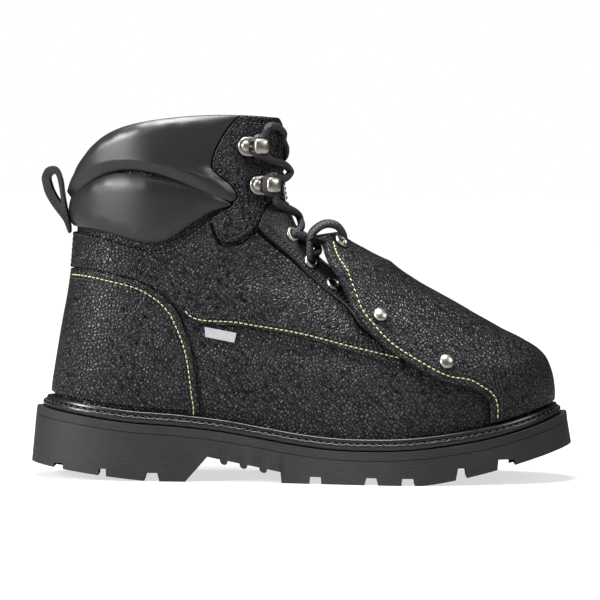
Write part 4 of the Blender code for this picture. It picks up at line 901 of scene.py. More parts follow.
# Side tag: a small woven label, left blank, caught under the quarter's folded edge.
TAG_CORNERS = ((0.3042, 0.2830), (0.3028, 0.3190), (0.3688, 0.2990), (0.3636, 0.2644))
TAG_CLOTH, shader = new_material("tag_cloth", 0.8)
place = add_node(TAG_CLOTH, "ShaderNodeTexCoord")
weave = add_node(TAG_CLOTH, "ShaderNodeTexWave", [("Vector", place, "Object")], in_Scale=600.0)
bumped(TAG_CLOTH, shader, weave, "Fac", 0.3, 0.0002)
shader.inputs["Base Color"].default_value = linear("9a9c9e")
tag = locate(TAG_CORNERS)
grid = coons(
    straight(tag[0], tag[3], 10), straight(tag[3], tag[2], 6), straight(tag[1], tag[2], 10),
    straight(tag[0], tag[1], 6), 24, 12,
)
leather_patch("woven_tag", grid, BASE, BASE + 0.0006, TAG_CLOTH, ["side_tag"], "tag_cloth", (), 0.0003)

# Metatarsal guard: a stiff cover in one piece from the toe to the instep, with cut edges.
GUARD_RISE = 0.0195
GUARD_LIE = 0.0031
GUARD_SPREAD = 1.15
GUARD_END = 12.35
GUARD_END_HALF = 0.62
GUARD_TOE = 0.0023
GUARD_STIFF = 0.0042
GUARD_TABLE = (
    0.0, 0.0, 0.0, 0.0, 0.0, 0.0, 0.105, 0.29, 0.52, 0.82, 1.12, 1.06, 0.91, 0.82, 0.75, 0.75,
    0.75, 0.75,
)
GUARD_SIDE_TABLE = (
    0.0, 0.0, 0.0, 0.0, 0.04, 0.13, 0.28, 0.43, 0.53, 0.62, 0.70, 0.66, 0.55, 0.50, 0.5, 0.5,
    0.5, 0.5,
)
GUARD_SIDE = (
    (0.8749, 0.0900), (0.8693, 0.0950), (0.8548, 0.1119), (0.8339, 0.1311), (0.7890, 0.1458),
    (0.7442, 0.1785), (0.7035, 0.2164), (0.6625, 0.2582), (0.6353, 0.3006), (0.6007, 0.3757),
    (0.5696, 0.4989), (0.5430, 0.6000),
)


def guard_off(turn, level):
    """Height of the guard's outside above the skin."""
    ridge = np.interp(level, range(len(GUARD_TABLE)), GUARD_TABLE)
    edge = np.interp(level, range(len(GUARD_SIDE_TABLE)), GUARD_SIDE_TABLE)
    turn = np.mod(np.asarray(turn, float), 2 * math.pi)
    spread = np.clip(np.abs(turn - math.pi) / GUARD_SPREAD, 0, 1)
    share = edge + (ridge - edge) * np.cos(spread * math.pi / 2)
    return GUARD_LIE + (GUARD_RISE - GUARD_LIE) * share


guard_edge = locate(GUARD_SIDE, guard_off)
guard_edge[0, 1] = above_welt(guard_edge[0, 0], GUARD_LIE)
guard_edge = even(guard_edge, 110)
rear_turn = math.pi - GUARD_END_HALF
guard_edge[-1] = (rear_turn, GUARD_END)
other_edge = guard_edge.copy()
other_edge[:, 0] = 2 * math.pi - other_edge[:, 0]
guard_start = guard_edge[0, 0]
rear_line = straight((rear_turn, GUARD_END), (2 * math.pi - rear_turn, GUARD_END), 60)
grid = coons(
    welt_line(guard_start, 2 * math.pi - guard_start, 120, GUARD_LIE), other_edge, rear_line, guard_edge,
    150, 130,
)
guard_pale = beside(guard_edge, -0.0042)[2:-2]
guard_black = beside(guard_edge, -0.0068)[2:46]


def other_side(line):
    line = np.array(line, float).copy()
    line[:, 0] = 2 * math.pi - line[:, 0]
    return line


leather_patch(
    "guard_cover", grid,
    lambda turn, level: guard_off(turn, level)
    - (GUARD_TOE + (GUARD_STIFF - GUARD_TOE) * ease((level - 4.0) / 3.5)),
    guard_off, PEBBLED, ["metatarsal_guard"], "leather", [guard_pale, other_side(guard_pale)],
)
stitch_row(
    "guard_pale_stitches", [guard_pale, other_side(guard_pale)], guard_off, PALE_THREAD,
    "lace_cord",
)
stitch_row(
    "guard_black_stitches", [guard_black, other_side(guard_black)], guard_off, BLACK_THREAD, "lace_cord",
)

# Tongue: padded smooth leather that lies under the lace.
TONGUE_TURN = 0.95
TONGUE_SINK = 0.0045
TONGUE_THICK = 0.0042
turns = math.pi + np.linspace(-TONGUE_TURN, TONGUE_TURN, 61)
levels = np.linspace(9.2, 16.7, 80)
grid = np.stack(np.meshgrid(turns, levels, indexing="ij"), -1)
bow = np.clip(np.cos((grid[..., 0] - math.pi) / TONGUE_TURN * math.pi / 2), 0, 1)
over = -WALL - 2 * GAP - TONGUE_SINK * bow ** 1.5
under = over - TONGUE_THICK * (0.45 + 0.55 * bow ** 0.7)
points, faces = slab(skin(grid[..., 0], grid[..., 1], under), skin(grid[..., 0], grid[..., 1], over))
piece = finish_piece("tongue_pad", points, faces, [SMOOTH], ["tongue"], "smooth_leather")

# Welt: a rubber strip sewn round the upper, with a stitched flange and a glossy bead above it.
WELT_SECTION = (
    (0.10, 0.10, 0.05), (0.89, 1.00, 0.05), (0.89, 1.00, 0.53), (0.64, 0.64, 0.56), (0.74, 0.74, 0.72),
    (0.66, 0.66, 0.93), (0.46, 0.38, 1.00), (0.38, 0.24, 0.82),
)
WELT_RUBBER, shader = new_material("welt_rubber", 0.30)
place = add_node(WELT_RUBBER, "ShaderNodeTexCoord")
rough = add_node(
    WELT_RUBBER, "ShaderNodeTexNoise", [("Vector", place, "Object")], in_Scale=500.0, in_Detail=4.0,
)
bumped(WELT_RUBBER, shader, rough, "Fac", 0.15, 0.0004)
shader.inputs["Base Color"].default_value = linear("121213")


def dense(section, count):
    """Closed section with extra points, each corner eased."""
    section = np.array(section)
    out = []
    for k in range(len(section)):
        a, b, c = section[k - 1], section[k], section[(k + 1) % len(section)]
        for share in np.linspace(0, 1, count):
            left = b + (a - b) * 0.28 * (1 - share)
            right = b + (c - b) * 0.28 * share
            out.append(left * (1 - share) + right * share)
    return np.array(out)


welt_section = dense(WELT_SECTION, 4)
WELT_COUNT = 420
points = []
for side, end, up in welt_section:
    line = outline(side * WELT_END, end * WELT_END, WELT_COUNT)
    run = np.arange(WELT_COUNT)
    ruffle = 0.00022 * np.sin(run * 1.9) * np.sin(run * 0.61 + 1.0) if up < 0.6 and side > 0.6 else 0.0
    for (x, y), high in zip(line, sole_top(line[:, 0]) + up * WELT_HIGH + ruffle):
        points.append((x, y, high))
faces = []
for k in range(len(welt_section)):
    m = (k + 1) % len(welt_section)
    for i in range(WELT_COUNT):
        j = (i + 1) % WELT_COUNT
        faces.append((k * WELT_COUNT + i, k * WELT_COUNT + j, m * WELT_COUNT + j, m * WELT_COUNT + i))
finish_piece("sewn_welt", points, faces, [WELT_RUBBER], ["welt"], "welt_rubber")

# The welt's own stitches: coarse dark thread that lies along the flange.
points = []
faces = []
line = outline(0.80 * WELT_END, 0.84 * WELT_END, 1200)
run = np.concatenate([[0], np.cumsum(np.linalg.norm(np.diff(line, axis=0), axis=1))])
number = int(run[-1] / 0.0042)
at = (np.arange(number) + 0.5) * run[-1] / number
for place in at:
    here = np.array([np.interp(place, run, line[:, 0]), np.interp(place, run, line[:, 1])])
    nose = np.array([np.interp(place + 0.001, run, line[:, 0]), np.interp(place + 0.001, run, line[:, 1])])
    ahead = (nose - here) / np.linalg.norm(nose - here)
    side = np.array([ahead[1], -ahead[0]])
    high = float(sole_top(here[0])) + 0.56 * WELT_HIGH
    first = len(points)
    for along, wide, rise in ((-0.5, 0.3, -0.7), (-0.3, 0.9, 0.2), (0.3, 0.9, 0.2), (0.5, 0.3, -0.7)):
        for k in range(6):
            angle = math.pi * k / 3
            flat = here + ahead * along * 0.0034 + side * math.cos(angle) * 0.0006 * wide
            points.append((flat[0], flat[1], high + (rise + math.sin(angle) * wide) * 0.0006))
    for r in range(3):
        for k in range(6):
            m = (k + 1) % 6
            a = first + r * 6
            faces.append((a + k, a + m, a + 6 + m, a + 6 + k))
    faces.append(tuple(first + k for k in range(6)))
    faces.append(tuple(first + 18 + k for k in range(5, -1, -1)))
finish_piece("welt_stitches", points, faces, [BLACK_THREAD], [], "lace_cord")

# Midsole and outsole: moulded rubber. The midsole's edge is buffed lighter, and the tread's
# sides carry the notches, the shank its ribs.
MIDSOLE_THICK = 0.0047
HEEL_LIFT = 0.0085
HEEL_LIFT_END = 0.23
TOE_SPRING = 0.0215
TOE_SPRING_START = 0.714
BREAST_START = 0.288
BREAST_END = 0.328
SHANK_END = 0.4615
FORE_START = 0.468
SHANK_BACK = 0.0142
SHANK_FRONT = 0.0063
RIB_DEPTH = 0.0025
RIB_HALF = 0.0075
LUG_DEPTH = 0.005
LUG_REACH = 0.021
CHANNEL = 0.004
SIDE_CUTS = (
    (0.045, 0.065, 0.60, 0.8), (0.129, 0.145, 0.80, 0.8), (0.210, 0.245, 0.96, 0.55),
    (0.513, 0.537, 0.80, 0.8), (0.610, 0.642, 0.82, 0.55), (0.679, 0.706, 0.80, 0.8),
    (0.775, 0.804, 1.20, 0.45), (0.851, 0.893, 0.90, 0.7),
)
CROSS_CUTS = (0.525, 0.575, 0.626, 0.692, 0.740, 0.790, 0.872)
HEEL_CROSS = (0.137, 0.227)
RIBS = (0.358, 0.394, 0.430)
FORE_CHANNEL = (0.490, 0.915)
HEEL_CHANNEL = (0.075, 0.268)


def tread_height(share):
    """Height of the tread line, with heel lift, breast, shank ribs and toe spring."""
    if share < HEEL_LIFT_END:
        return HEEL_LIFT * ((HEEL_LIFT_END - share) / HEEL_LIFT_END) ** 1.2
    if share < BREAST_START:
        return 0.0
    if share < BREAST_END:
        return SHANK_BACK * (share - BREAST_START) / (BREAST_END - BREAST_START)
    if share <= SHANK_END:
        mix = (share - BREAST_END) / (SHANK_END - BREAST_END)
        return SHANK_BACK + (SHANK_FRONT - SHANK_BACK) * mix
    if share < TOE_SPRING_START:
        return 0.0
    return TOE_SPRING * ((share - TOE_SPRING_START) / (1 - TOE_SPRING_START)) ** 1.3


def moulded_rubber(name, dark, light, roughness):
    """Moulded rubber, buffed at the edge: matte, with fine scuffs along it and a dusty bloom."""
    made, shader = new_material(name, roughness, specular=0.35)
    place = add_node(made, "ShaderNodeTexCoord")
    turn = add_node(made, "ShaderNodeMapping", [("Vector", place, "Object")])
    turn.inputs["Scale"].default_value = (0.12, 0.4, 1.0)
    scuff = add_node(made, "ShaderNodeTexNoise", [("Vector", turn, "Vector")], in_Scale=1400.0, in_Detail=4.0)
    broad = add_node(made, "ShaderNodeTexNoise", [("Vector", place, "Object")], in_Scale=45.0, in_Detail=5.0)
    mixed = add_node(made, "ShaderNodeMath", [(0, scuff, "Fac"), (1, broad, "Fac")], operation="MULTIPLY")
    tint = add_node(made, "ShaderNodeValToRGB", [("Fac", mixed, "Value")])
    ramp_stops(tint, [(0.12, linear(dark)), (0.42, linear(light))])
    made.node_tree.links.new(tint.outputs["Color"], shader.inputs["Base Color"])
    bumped(made, shader, scuff, "Fac", 0.25, 0.0004)
    return made


TREAD_RUBBER = moulded_rubber("tread_rubber", "161517", "222123", 0.66)
BUFFED_RUBBER = moulded_rubber("buffed_rubber", "161517", "232224", 0.72)


def station(line, share):
    """Lateral and medial points of an outline at a share of its length."""
    low = int(np.argmin(line[:, 0]))
    high = int(np.argmax(line[:, 0]))
    x = line[low, 0] + (line[high, 0] - line[low, 0]) * share
    if share <= 0.0:
        return [line[low]] * 2
    if share >= 1.0:
        return [line[high]] * 2
    turn = np.arange(len(line))
    lateral = line[(low + turn) % len(line)][: (high - low) % len(line) + 1]
    medial = line[(low - turn) % len(line)][: (low - high) % len(line) + 1]
    out = []
    for part in (lateral, medial):
        order = np.argsort(part[:, 0])
        out.append(np.array([x, np.interp(x, part[order, 0], part[order, 1])]))
    return out


def line_x(line, share):
    return line[:, 0].min() + (line[:, 0].max() - line[:, 0].min()) * share


def strip(shares, top_line, low_line, top_height, low_height, rows=1):
    """Points and faces of a body lofted along the boot between a top and a low outline."""
    points = []
    for share in shares:
        for side in (0, 1):
            a = station(top_line, share)[side]
            b = station(low_line, share)[side]
            for row in range(rows + 1):
                mix = row / rows
                spot = a + (b - a) * mix
                points.append((spot[0], spot[1], top_height(share) * (1 - mix) + low_height(share) * mix))
    faces = []
    step = 2 * (rows + 1)
    for k in range(len(shares) - 1):
        a = step * k
        b = a + step
        for row in range(rows):
            faces.append((a + row, b + row, b + row + 1, a + row + 1))
            m = rows + 1 + row
            faces.append((a + m, a + m + 1, b + m + 1, b + m))
        faces.append((a, a + rows + 1, b + rows + 1, b))
        faces.append((a + rows, b + rows, b + step - 1, a + step - 1))
    last = step * (len(shares) - 1)
    faces.append(tuple(range(rows + 1)) + tuple(range(step - 1, rows, -1)))
    around = list(range(rows, -1, -1)) + list(range(rows + 1, step))
    faces.append(tuple(last + n for n in around))
    return points, faces


line_top = outline(WELT_SIDE + LEDGE_SIDE, WELT_END + LEDGE_END, 720)
line_mid = outline(WELT_SIDE + LEDGE_SIDE + FLARE_SIDE * 0.2, WELT_END + LEDGE_END + FLARE_END * 0.2, 720)
line_low = outline(WELT_SIDE + LEDGE_SIDE + FLARE_SIDE, WELT_END + LEDGE_END + FLARE_END, 720)
curve_in = (1 - np.cos(np.linspace(0, math.pi / 2, 26))) * 0.105
fine_shares = np.concatenate([curve_in, np.linspace(0.105, 0.895, 120), 1 - curve_in])
fine_shares = sorted(set(np.round(fine_shares, 5)))


def under_midsole(share):
    return float(sole_top(line_x(line_mid, share))) - MIDSOLE_THICK


def rounded_copy(piece, width, segments):
    """Applies a small bevel along the sharp edges of a moulded piece."""
    pick(piece)
    bevel = piece.modifiers.new("edge", "BEVEL")
    bevel.width = width
    bevel.segments = segments
    bevel.limit_method = "ANGLE"
    bevel.angle_limit = math.radians(38)
    bevel.harden_normals = False
    bpy.ops.object.modifier_apply(modifier="edge")
    bpy.ops.object.shade_smooth_by_angle(angle=math.radians(35))


points, faces = strip(
    fine_shares, line_top, line_mid, lambda share: float(sole_top(line_x(line_top, share))), under_midsole, 2,
)
piece = finish_piece("midsole_layer", points, faces, [BUFFED_RUBBER], ["midsole"], "midsole_rubber")
rounded_copy(piece, 0.0004, 2)

rib_drops = {}
rib_shares = []
for centre in RIBS:
    for step in np.linspace(-1, 1, 13):
        share = round(centre + step * RIB_HALF, 5)
        rib_shares.append(share)
        rib_drops[share] = RIB_DEPTH * math.sqrt(max(1 - abs(step) ** 2.4, 0.0))
keys = [BREAST_START, BREAST_END, SHANK_END, FORE_START, HEEL_LIFT_END, TOE_SPRING_START]
rib_span = (min(rib_shares), max(rib_shares))
plain = [share for share in fine_shares if not rib_span[0] <= share <= rib_span[1]]
tread_shares = sorted(set(list(plain) + rib_shares + keys))
points, faces = strip(
    tread_shares, line_mid, line_low, lambda share: under_midsole(share) - GAP,
    lambda share: tread_height(share) - rib_drops.get(round(share, 5), 0.0), 2,
)
outsole = finish_piece("tread_sole", points, faces, [TREAD_RUBBER], ["outsole"], "tread_rubber")


def cut_away(target, points, faces):
    """Takes a closed form out of a piece."""
    mesh = bpy.data.meshes.new("cut")
    mesh.from_pydata((np.asarray(points) + SHIFT).tolist(), [], faces)
    work = bmesh.new()
    work.from_mesh(mesh)
    bmesh.ops.recalc_face_normals(work, faces=work.faces)
    work.to_mesh(mesh)
    work.free()
    tool = bpy.data.objects.new("cut", mesh)
    bpy.context.collection.objects.link(tool)
    pick(target)
    change = target.modifiers.new("cut", "BOOLEAN")
    change.object = tool
    bpy.ops.object.modifier_apply(modifier="cut")
    bpy.data.objects.remove(tool, do_unlink=True)


BOX_FACES = [(0, 1, 2, 3), (7, 6, 5, 4), (0, 4, 5, 1), (1, 5, 6, 2), (2, 6, 7, 3), (3, 7, 4, 0)]
BELOW = -0.004
all_points = []
all_faces = []


def gather(points, faces):
    first = len(all_points)
    all_points.extend(points)
    all_faces.extend([tuple(first + n for n in face) for face in faces])


for start, end, deep, flat in SIDE_CUTS:
    middle = (start + end) / 2
    floor = tread_height(middle) + deep * LUG_DEPTH
    narrow = (end - start) * flat / 2
    low = min(BELOW, floor - 0.004)
    for side, spot in zip((-1, 1), station(line_low, middle)):
        points = []
        for y in (spot[1] - side * LUG_REACH, spot[1] + side * 0.012):
            for share, high in ((start, low), (end, low), (middle + narrow, floor), (middle - narrow, floor)):
                points.append((line_x(line_low, share), y, high))
        gather(points, BOX_FACES)
cut_away(outsole, all_points, all_faces)

for side in (0, 1):
    for start, end in (FORE_CHANNEL, HEEL_CHANNEL):
        stops = np.linspace(start, end, 24)
        inward = 1 if side == 0 else -1
        points = []
        for share in stops:
            near = station(line_low, share)[side][1] + inward * (LUG_REACH - 0.001)
            far = near + inward * CHANNEL
            high = tread_height(share) + LUG_DEPTH * 0.9
            low = min(BELOW, high - 0.008)
            x = line_x(line_low, share)
            points += [(x, near, low), (x, far, low), (x, far, high), (x, near, high)]
        last = 4 * (len(stops) - 1)
        faces = [(0, 1, 2, 3), tuple(last + n for n in (3, 2, 1, 0))]
        for k in range(len(stops) - 1):
            for n in range(4):
                m = (n + 1) % 4
                faces.append((4 * k + n, 4 * (k + 1) + n, 4 * (k + 1) + m, 4 * k + m))
        cut_away(outsole, points, faces)
all_points = []
all_faces = []
for share in CROSS_CUTS + HEEL_CROSS:
    lateral, medial = station(line_low, share)
    high = tread_height(share) + LUG_DEPTH * 0.82
    low = min(BELOW, high - 0.008)
    points = []
    for y in (lateral[1] + LUG_REACH + 0.001, medial[1] - LUG_REACH - 0.001):
        x = line_x(line_low, share)
        points += [(x - 0.0058, y, low), (x + 0.0058, y, low), (x + 0.0035, y, high), (x - 0.0035, y, high)]
    gather(points, BOX_FACES)
cut_away(outsole, all_points, all_faces)
bpy.ops.object.shade_smooth_by_angle(angle=math.radians(30))

# Insole: a cloth-topped board on the welted ribs.
INSOLE_THICK = 0.0035
INSOLE_CLOTH, shader = new_material("insole_cloth", 0.95, specular=0.2)
place = add_node(INSOLE_CLOTH, "ShaderNodeTexCoord")
knit = add_node(INSOLE_CLOTH, "ShaderNodeTexVoronoi", [("Vector", place, "Object")], in_Scale=700.0)
bumped(INSOLE_CLOTH, shader, knit, "Distance", 0.5, 0.0005)
shader.inputs["Base Color"].default_value = linear("29292b")
insole_line = outline(-WALL - 2 * GAP, -WALL - 2 * GAP, 480)
points, faces = strip(
    fine_shares, insole_line, insole_line,
    lambda share: float(sole_top(line_x(insole_line, share))) + GAP + INSOLE_THICK,
    lambda share: float(sole_top(line_x(insole_line, share))) + GAP,
)
finish_piece("foot_bed", points, faces, [INSOLE_CLOTH], ["insole"], "insole_cloth")

# Eyelets, rivets and speed hooks: brass, nickel plated, turned or pressed and closed by machine.
EYELET_SPOTS = ((0.4788, 0.6130), (0.5152, 0.5271), (0.5608, 0.4582))
HOOK_SPOTS = ((0.3942, 0.8920), (0.4175, 0.7690))
GUARD_RIVET_SPOTS = ((0.6534, 0.3621), (0.7855, 0.2158))
NICKEL, shader = new_material("plated_nickel", 0.34, metallic=1.0)
place = add_node(NICKEL, "ShaderNodeTexCoord")
wear = add_node(NICKEL, "ShaderNodeTexNoise", [("Vector", place, "Object")], in_Scale=420.0, in_Detail=3.0)
tint = add_node(NICKEL, "ShaderNodeValToRGB", [("Fac", wear, "Fac")])
ramp_stops(tint, [(0.35, linear("938e86")), (0.6, linear("aaa69f"))])
NICKEL.node_tree.links.new(tint.outputs["Color"], shader.inputs["Base Color"])


def turned_shape(profile, count):
    """Mesh spun about Z from a profile of radius and height, as on a lathe."""
    mesh = bpy.data.meshes.new("profile")
    mesh.from_pydata([(r, 0.0, h) for r, h in profile], [(k, k + 1) for k in range(len(profile) - 1)], [])
    item = bpy.data.objects.new("profile", mesh)
    bpy.context.collection.objects.link(item)
    pick(item)
    bpy.ops.object.mode_set(mode="EDIT")
    bpy.ops.mesh.select_all(action="SELECT")
    bpy.ops.mesh.spin(steps=count, angle=2 * math.pi, center=(0, 0, 0), axis=(0, 0, 1))
    bpy.ops.mesh.select_all(action="SELECT")
    bpy.ops.mesh.remove_doubles(threshold=0.00001)
    bpy.ops.mesh.normals_make_consistent(inside=False)
    bpy.ops.object.mode_set(mode="OBJECT")
    return item


def seat(spot, off, side, surface=None):
    """Matrix that sets a turned shape square on the surface at a spot given in side view."""
    turn, level = locate([spot], off if surface is None else surface)[0]
    turn = turn * side
    lift = float(off) if surface is None else float(surface(turn, level)) + float(off)
    return square(turn, level, lift)


def square(turn, level, lift):
    point = skin(turn, level, lift)
    normal = skin(turn, level, lift + 0.001) - point
    normal /= np.linalg.norm(normal)
    ahead = np.array([1.0, 0.0, 0.0])
    ahead -= normal * ahead.dot(normal)
    ahead /= np.linalg.norm(ahead)
    beside_it = np.cross(normal, ahead)
    matrix = np.eye(4)
    matrix[:3, 0] = ahead
    matrix[:3, 1] = beside_it
    matrix[:3, 2] = normal
    matrix[:3, 3] = point + SHIFT
    return Matrix(matrix.tolist())


def set_copies(master, names, places, nodes):
    for name, matrix, node in zip(names, places, nodes):
        mesh = master.data.copy()
        mesh.transform(matrix)
        mesh.materials.clear()
        mesh.materials.append(NICKEL)
        piece = bpy.data.objects.new(name, mesh)
        bpy.context.collection.objects.link(piece)
        pick(piece)
        bpy.ops.object.shade_smooth_by_angle(angle=math.radians(50))
        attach(piece, "root")
        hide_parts(node)
    bpy.data.objects.remove(master, do_unlink=True)


ON_FACING = BASE + FACING + 2 * GAP
SIDES = (("lateral", 1), ("medial", -1))
ring = [
    (0.0024, -0.0009), (0.0024, 0.0002), (0.00255, 0.0006), (0.0029, 0.00088), (0.0034, 0.00095),
    (0.0040, 0.0008), (0.0044, 0.00045), (0.0045, 0.0001), (0.0045, -0.0004), (0.0042, -0.0009),
    (0.0024, -0.0009),
]
names = []
places = []
nodes = []
for number, spot in enumerate(EYELET_SPOTS, 1):
    for word, side in SIDES:
        names.append(f"ring_{word}_{number}")
        nodes.append(f"eyelet_{word}_{number}")
        places.append(seat(spot, ON_FACING, side))
GUARD_EYELET_LEVEL = 11.75
GUARD_EYELET_TURN = 0.34
for word, side in SIDES:
    turn = math.pi - side * GUARD_EYELET_TURN
    names.append(f"guard_ring_{word}")
    nodes.append(f"guard_eyelet_{word}")
    lift = float(guard_off(turn, GUARD_EYELET_LEVEL)) + 0.0014
    places.append(square(turn, GUARD_EYELET_LEVEL, lift))
set_copies(turned_shape(ring, 40), names, places, nodes)

dome = [
    (0.0, -0.0008), (0.0036, -0.0008), (0.0042, -0.0002), (0.00425, 0.0003), (0.0040, 0.0009),
    (0.0033, 0.0014), (0.0022, 0.00185), (0.0010, 0.0021), (0.0, 0.00215),
]
names = []
places = []
nodes = []
for number, spot in enumerate(GUARD_RIVET_SPOTS, 1):
    for word, side in SIDES:
        names.append(f"rivet_{word}_{number}")
        nodes.append(f"guard_rivet_{word}_{number}")
        places.append(seat(spot, 0.0004, side, guard_off))
set_copies(turned_shape(dome, 40), names, places, nodes)

# A speed hook is a pressed plate with a rivet head behind and a mushroom-shaped post in front.
HOOK_HALF = 0.003
plate = turned_shape([
    (0.0, -0.0003), (0.0050, -0.0003), (0.0055, 0.0), (0.0055, 0.0006), (0.0052, 0.0010), (0.0046, 0.0012),
    (0.0, 0.0012),
], 40)
for vertex in plate.data.vertices:
    if abs(vertex.co.x) > 0.0001:
        vertex.co.x += math.copysign(HOOK_HALF, vertex.co.x)
rivet = turned_shape([
    (0.0, 0.0008), (0.0033, 0.0008), (0.0033, 0.0014), (0.0027, 0.0021), (0.0014, 0.0026), (0.0, 0.0027),
], 28)
rivet.data.transform(Matrix.Translation((-HOOK_HALF * 1.15, 0, 0)))
post = turned_shape([
    (0.0, 0.0008), (0.0026, 0.0008), (0.0020, 0.0016), (0.0018, 0.0034), (0.0022, 0.0048), (0.0040, 0.0055),
    (0.0046, 0.0061), (0.0046, 0.0067), (0.0040, 0.0074), (0.0020, 0.0080), (0.0, 0.0081),
], 32)
for vertex in post.data.vertices:
    reach = math.hypot(vertex.co.x, vertex.co.y)
    if reach > 0.0024:
        square_off = 0.95 * ((vertex.co.x / reach) ** 4 + (vertex.co.y / reach) ** 4) ** -0.25
        vertex.co.x *= square_off
        vertex.co.y *= square_off
post.data.transform(Matrix.Translation((HOOK_HALF * 1.15, 0, 0)))
bpy.ops.object.select_all(action="DESELECT")
for item in (rivet, post, plate):
    item.select_set(True)
bpy.context.view_layer.objects.active = plate
bpy.ops.object.join()
names = []
places = []
nodes = []
for number, spot in enumerate(HOOK_SPOTS, 1):
    for word, side in SIDES:
        names.append(f"speed_hook_{word}_{number}")
        nodes.append(f"hook_{word}_{number}")
        places.append(seat(spot, ON_FACING + GAP, side))
set_copies(plate, names, places, nodes)

# Lace: one round braided polyester cord, run through the eyelets and round the hooks. Its ends
# are tucked in at the top hooks.
LACE_RADIUS = 0.0021
BRAID, shader = new_material("braided_lace", 0.6)
round_it = add_node(BRAID, "ShaderNodeUVMap", uv_map="braid")
split = add_node(BRAID, "ShaderNodeSeparateXYZ", [("Vector", round_it, "UV")])
waves = []
for sign in (1.0, -1.0):
    mixed = add_node(BRAID, "ShaderNodeMath", [(0, split, "Y")], operation="MULTIPLY_ADD")
    mixed.inputs[1].default_value = sign * 3.0
    BRAID.node_tree.links.new(split.outputs["X"], mixed.inputs[2])
    wave = add_node(BRAID, "ShaderNodeMath", [(0, mixed, "Value")], operation="PINGPONG")
    wave.inputs[1].default_value = 0.5
    waves.append(wave)
braid = add_node(
    BRAID, "ShaderNodeMath", [(0, waves[0], "Value"), (1, waves[1], "Value")], operation="MAXIMUM",
)
bumped(BRAID, shader, braid, "Value", 0.9, 0.0007)
# Colour follows the braid's height: painted shade, darker in the grooves between the strands.
tint = add_node(BRAID, "ShaderNodeValToRGB", [("Fac", braid, "Value")])
ramp_stops(tint, [(0.2, linear("0a0a0b")), (0.5, linear("1e1e20"))])
BRAID.node_tree.links.new(tint.outputs["Color"], shader.inputs["Base Color"])


def smooth_path(spots, step=0.0007):
    """Evenly spaced points on a smooth line through some spots."""
    spots = np.array(spots, float)
    ends = np.vstack([2 * spots[0] - spots[1], spots, 2 * spots[-1] - spots[-2]])
    out = []
    for k in range(len(spots) - 1):
        p0, p1, p2, p3 = ends[k:k + 4]
        for f in np.linspace(0, 1, 20, endpoint=False):
            bend = 2 * p0 - 5 * p1 + 4 * p2 - p3 + f * (3 * (p1 - p2) + p3 - p0)
            out.append(p1 + 0.5 * f * (p2 - p0 + f * bend))
    out = np.array(out + [spots[-1]])
    run = np.concatenate([[0], np.cumsum(np.linalg.norm(np.diff(out, axis=0), axis=1))])
    at = np.linspace(0, run[-1], max(int(run[-1] / step), 8))
    return np.stack([np.interp(at, run, out[:, k]) for k in range(3)], -1)


def braided(name, paths, nodes):
    """Round cord along each path, with a UV map that runs along and round it."""
    points = []
    faces = []
    marks = []
    count = 14
    for path in paths:
        line = [Vector(p) for p in smooth_path(path)]
        side = Vector((0.13, 0.05, 1.0))
        run = 0.0
        first = len(points)
        for k, here in enumerate(line):
            ahead = (line[min(k + 1, len(line) - 1)] - line[max(k - 1, 0)]).normalized()
            side = (side - ahead * side.dot(ahead)).normalized()
            up = side.cross(ahead)
            run += (line[k] - line[k - 1]).length if k else 0.0
            for n in range(count):
                angle = 2 * math.pi * n / count
                points.append(here + (side * math.cos(angle) + up * math.sin(angle)) * LACE_RADIUS)
                marks.append((run / 0.0022, n / count * 2))
        for k in range(len(line) - 1):
            for n in range(count):
                m = (n + 1) % count
                a = first + k * count
                faces.append((a + n, a + m, a + count + m, a + count + n))
        faces.append(tuple(first + n for n in range(count - 1, -1, -1)))
        last = first + (len(line) - 1) * count
        faces.append(tuple(last + n for n in range(count)))
    mesh = bpy.data.meshes.new(name)
    mesh.from_pydata([tuple(np.array(p) + SHIFT) for p in points], [], faces)
    layer = mesh.uv_layers.new(name="braid")
    for face in mesh.polygons:
        for corner in face.loop_indices:
            u, v = marks[mesh.loops[corner].vertex_index]
            first_v = marks[face.vertices[0]][1]
            if v < 0.3 and max(marks[n][1] for n in face.vertices) > 1.5:
                v += 2.0
            layer.data[corner].uv = (u, v)
    mesh.materials.append(BRAID)
    work = bmesh.new()
    work.from_mesh(mesh)
    bmesh.ops.recalc_face_normals(work, faces=work.faces)
    work.to_mesh(mesh)
    work.free()
    mesh.shade_smooth()
    piece = bpy.data.objects.new(name, mesh)
    bpy.context.collection.objects.link(piece)
    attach(piece, "root")
    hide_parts(*nodes)
    return piece


def other(path):
    return [(x, -y, z) for x, y, z in path]


def metres(path):
    return [(x / 1000, y / 1000, z / 1000) for x, y, z in path]


def round_post(spot):
    """Points of the lace where it passes under a hook's head, from above the post to below."""
    matrix = np.array(seat(spot, ON_FACING + GAP, 1))
    out = []
    for ahead, up in ((0.0022, 0.0054), (-0.0018, 0.0046), (-0.0036, 0.0020), (-0.0036, -0.0020),
                      (-0.0018, -0.0046), (0.0022, -0.0054)):
        place = matrix @ np.array([HOOK_HALF * 1.15 + ahead, up, 0.0036, 1.0])
        out.append(tuple(place[:3] - SHIFT))
    return out
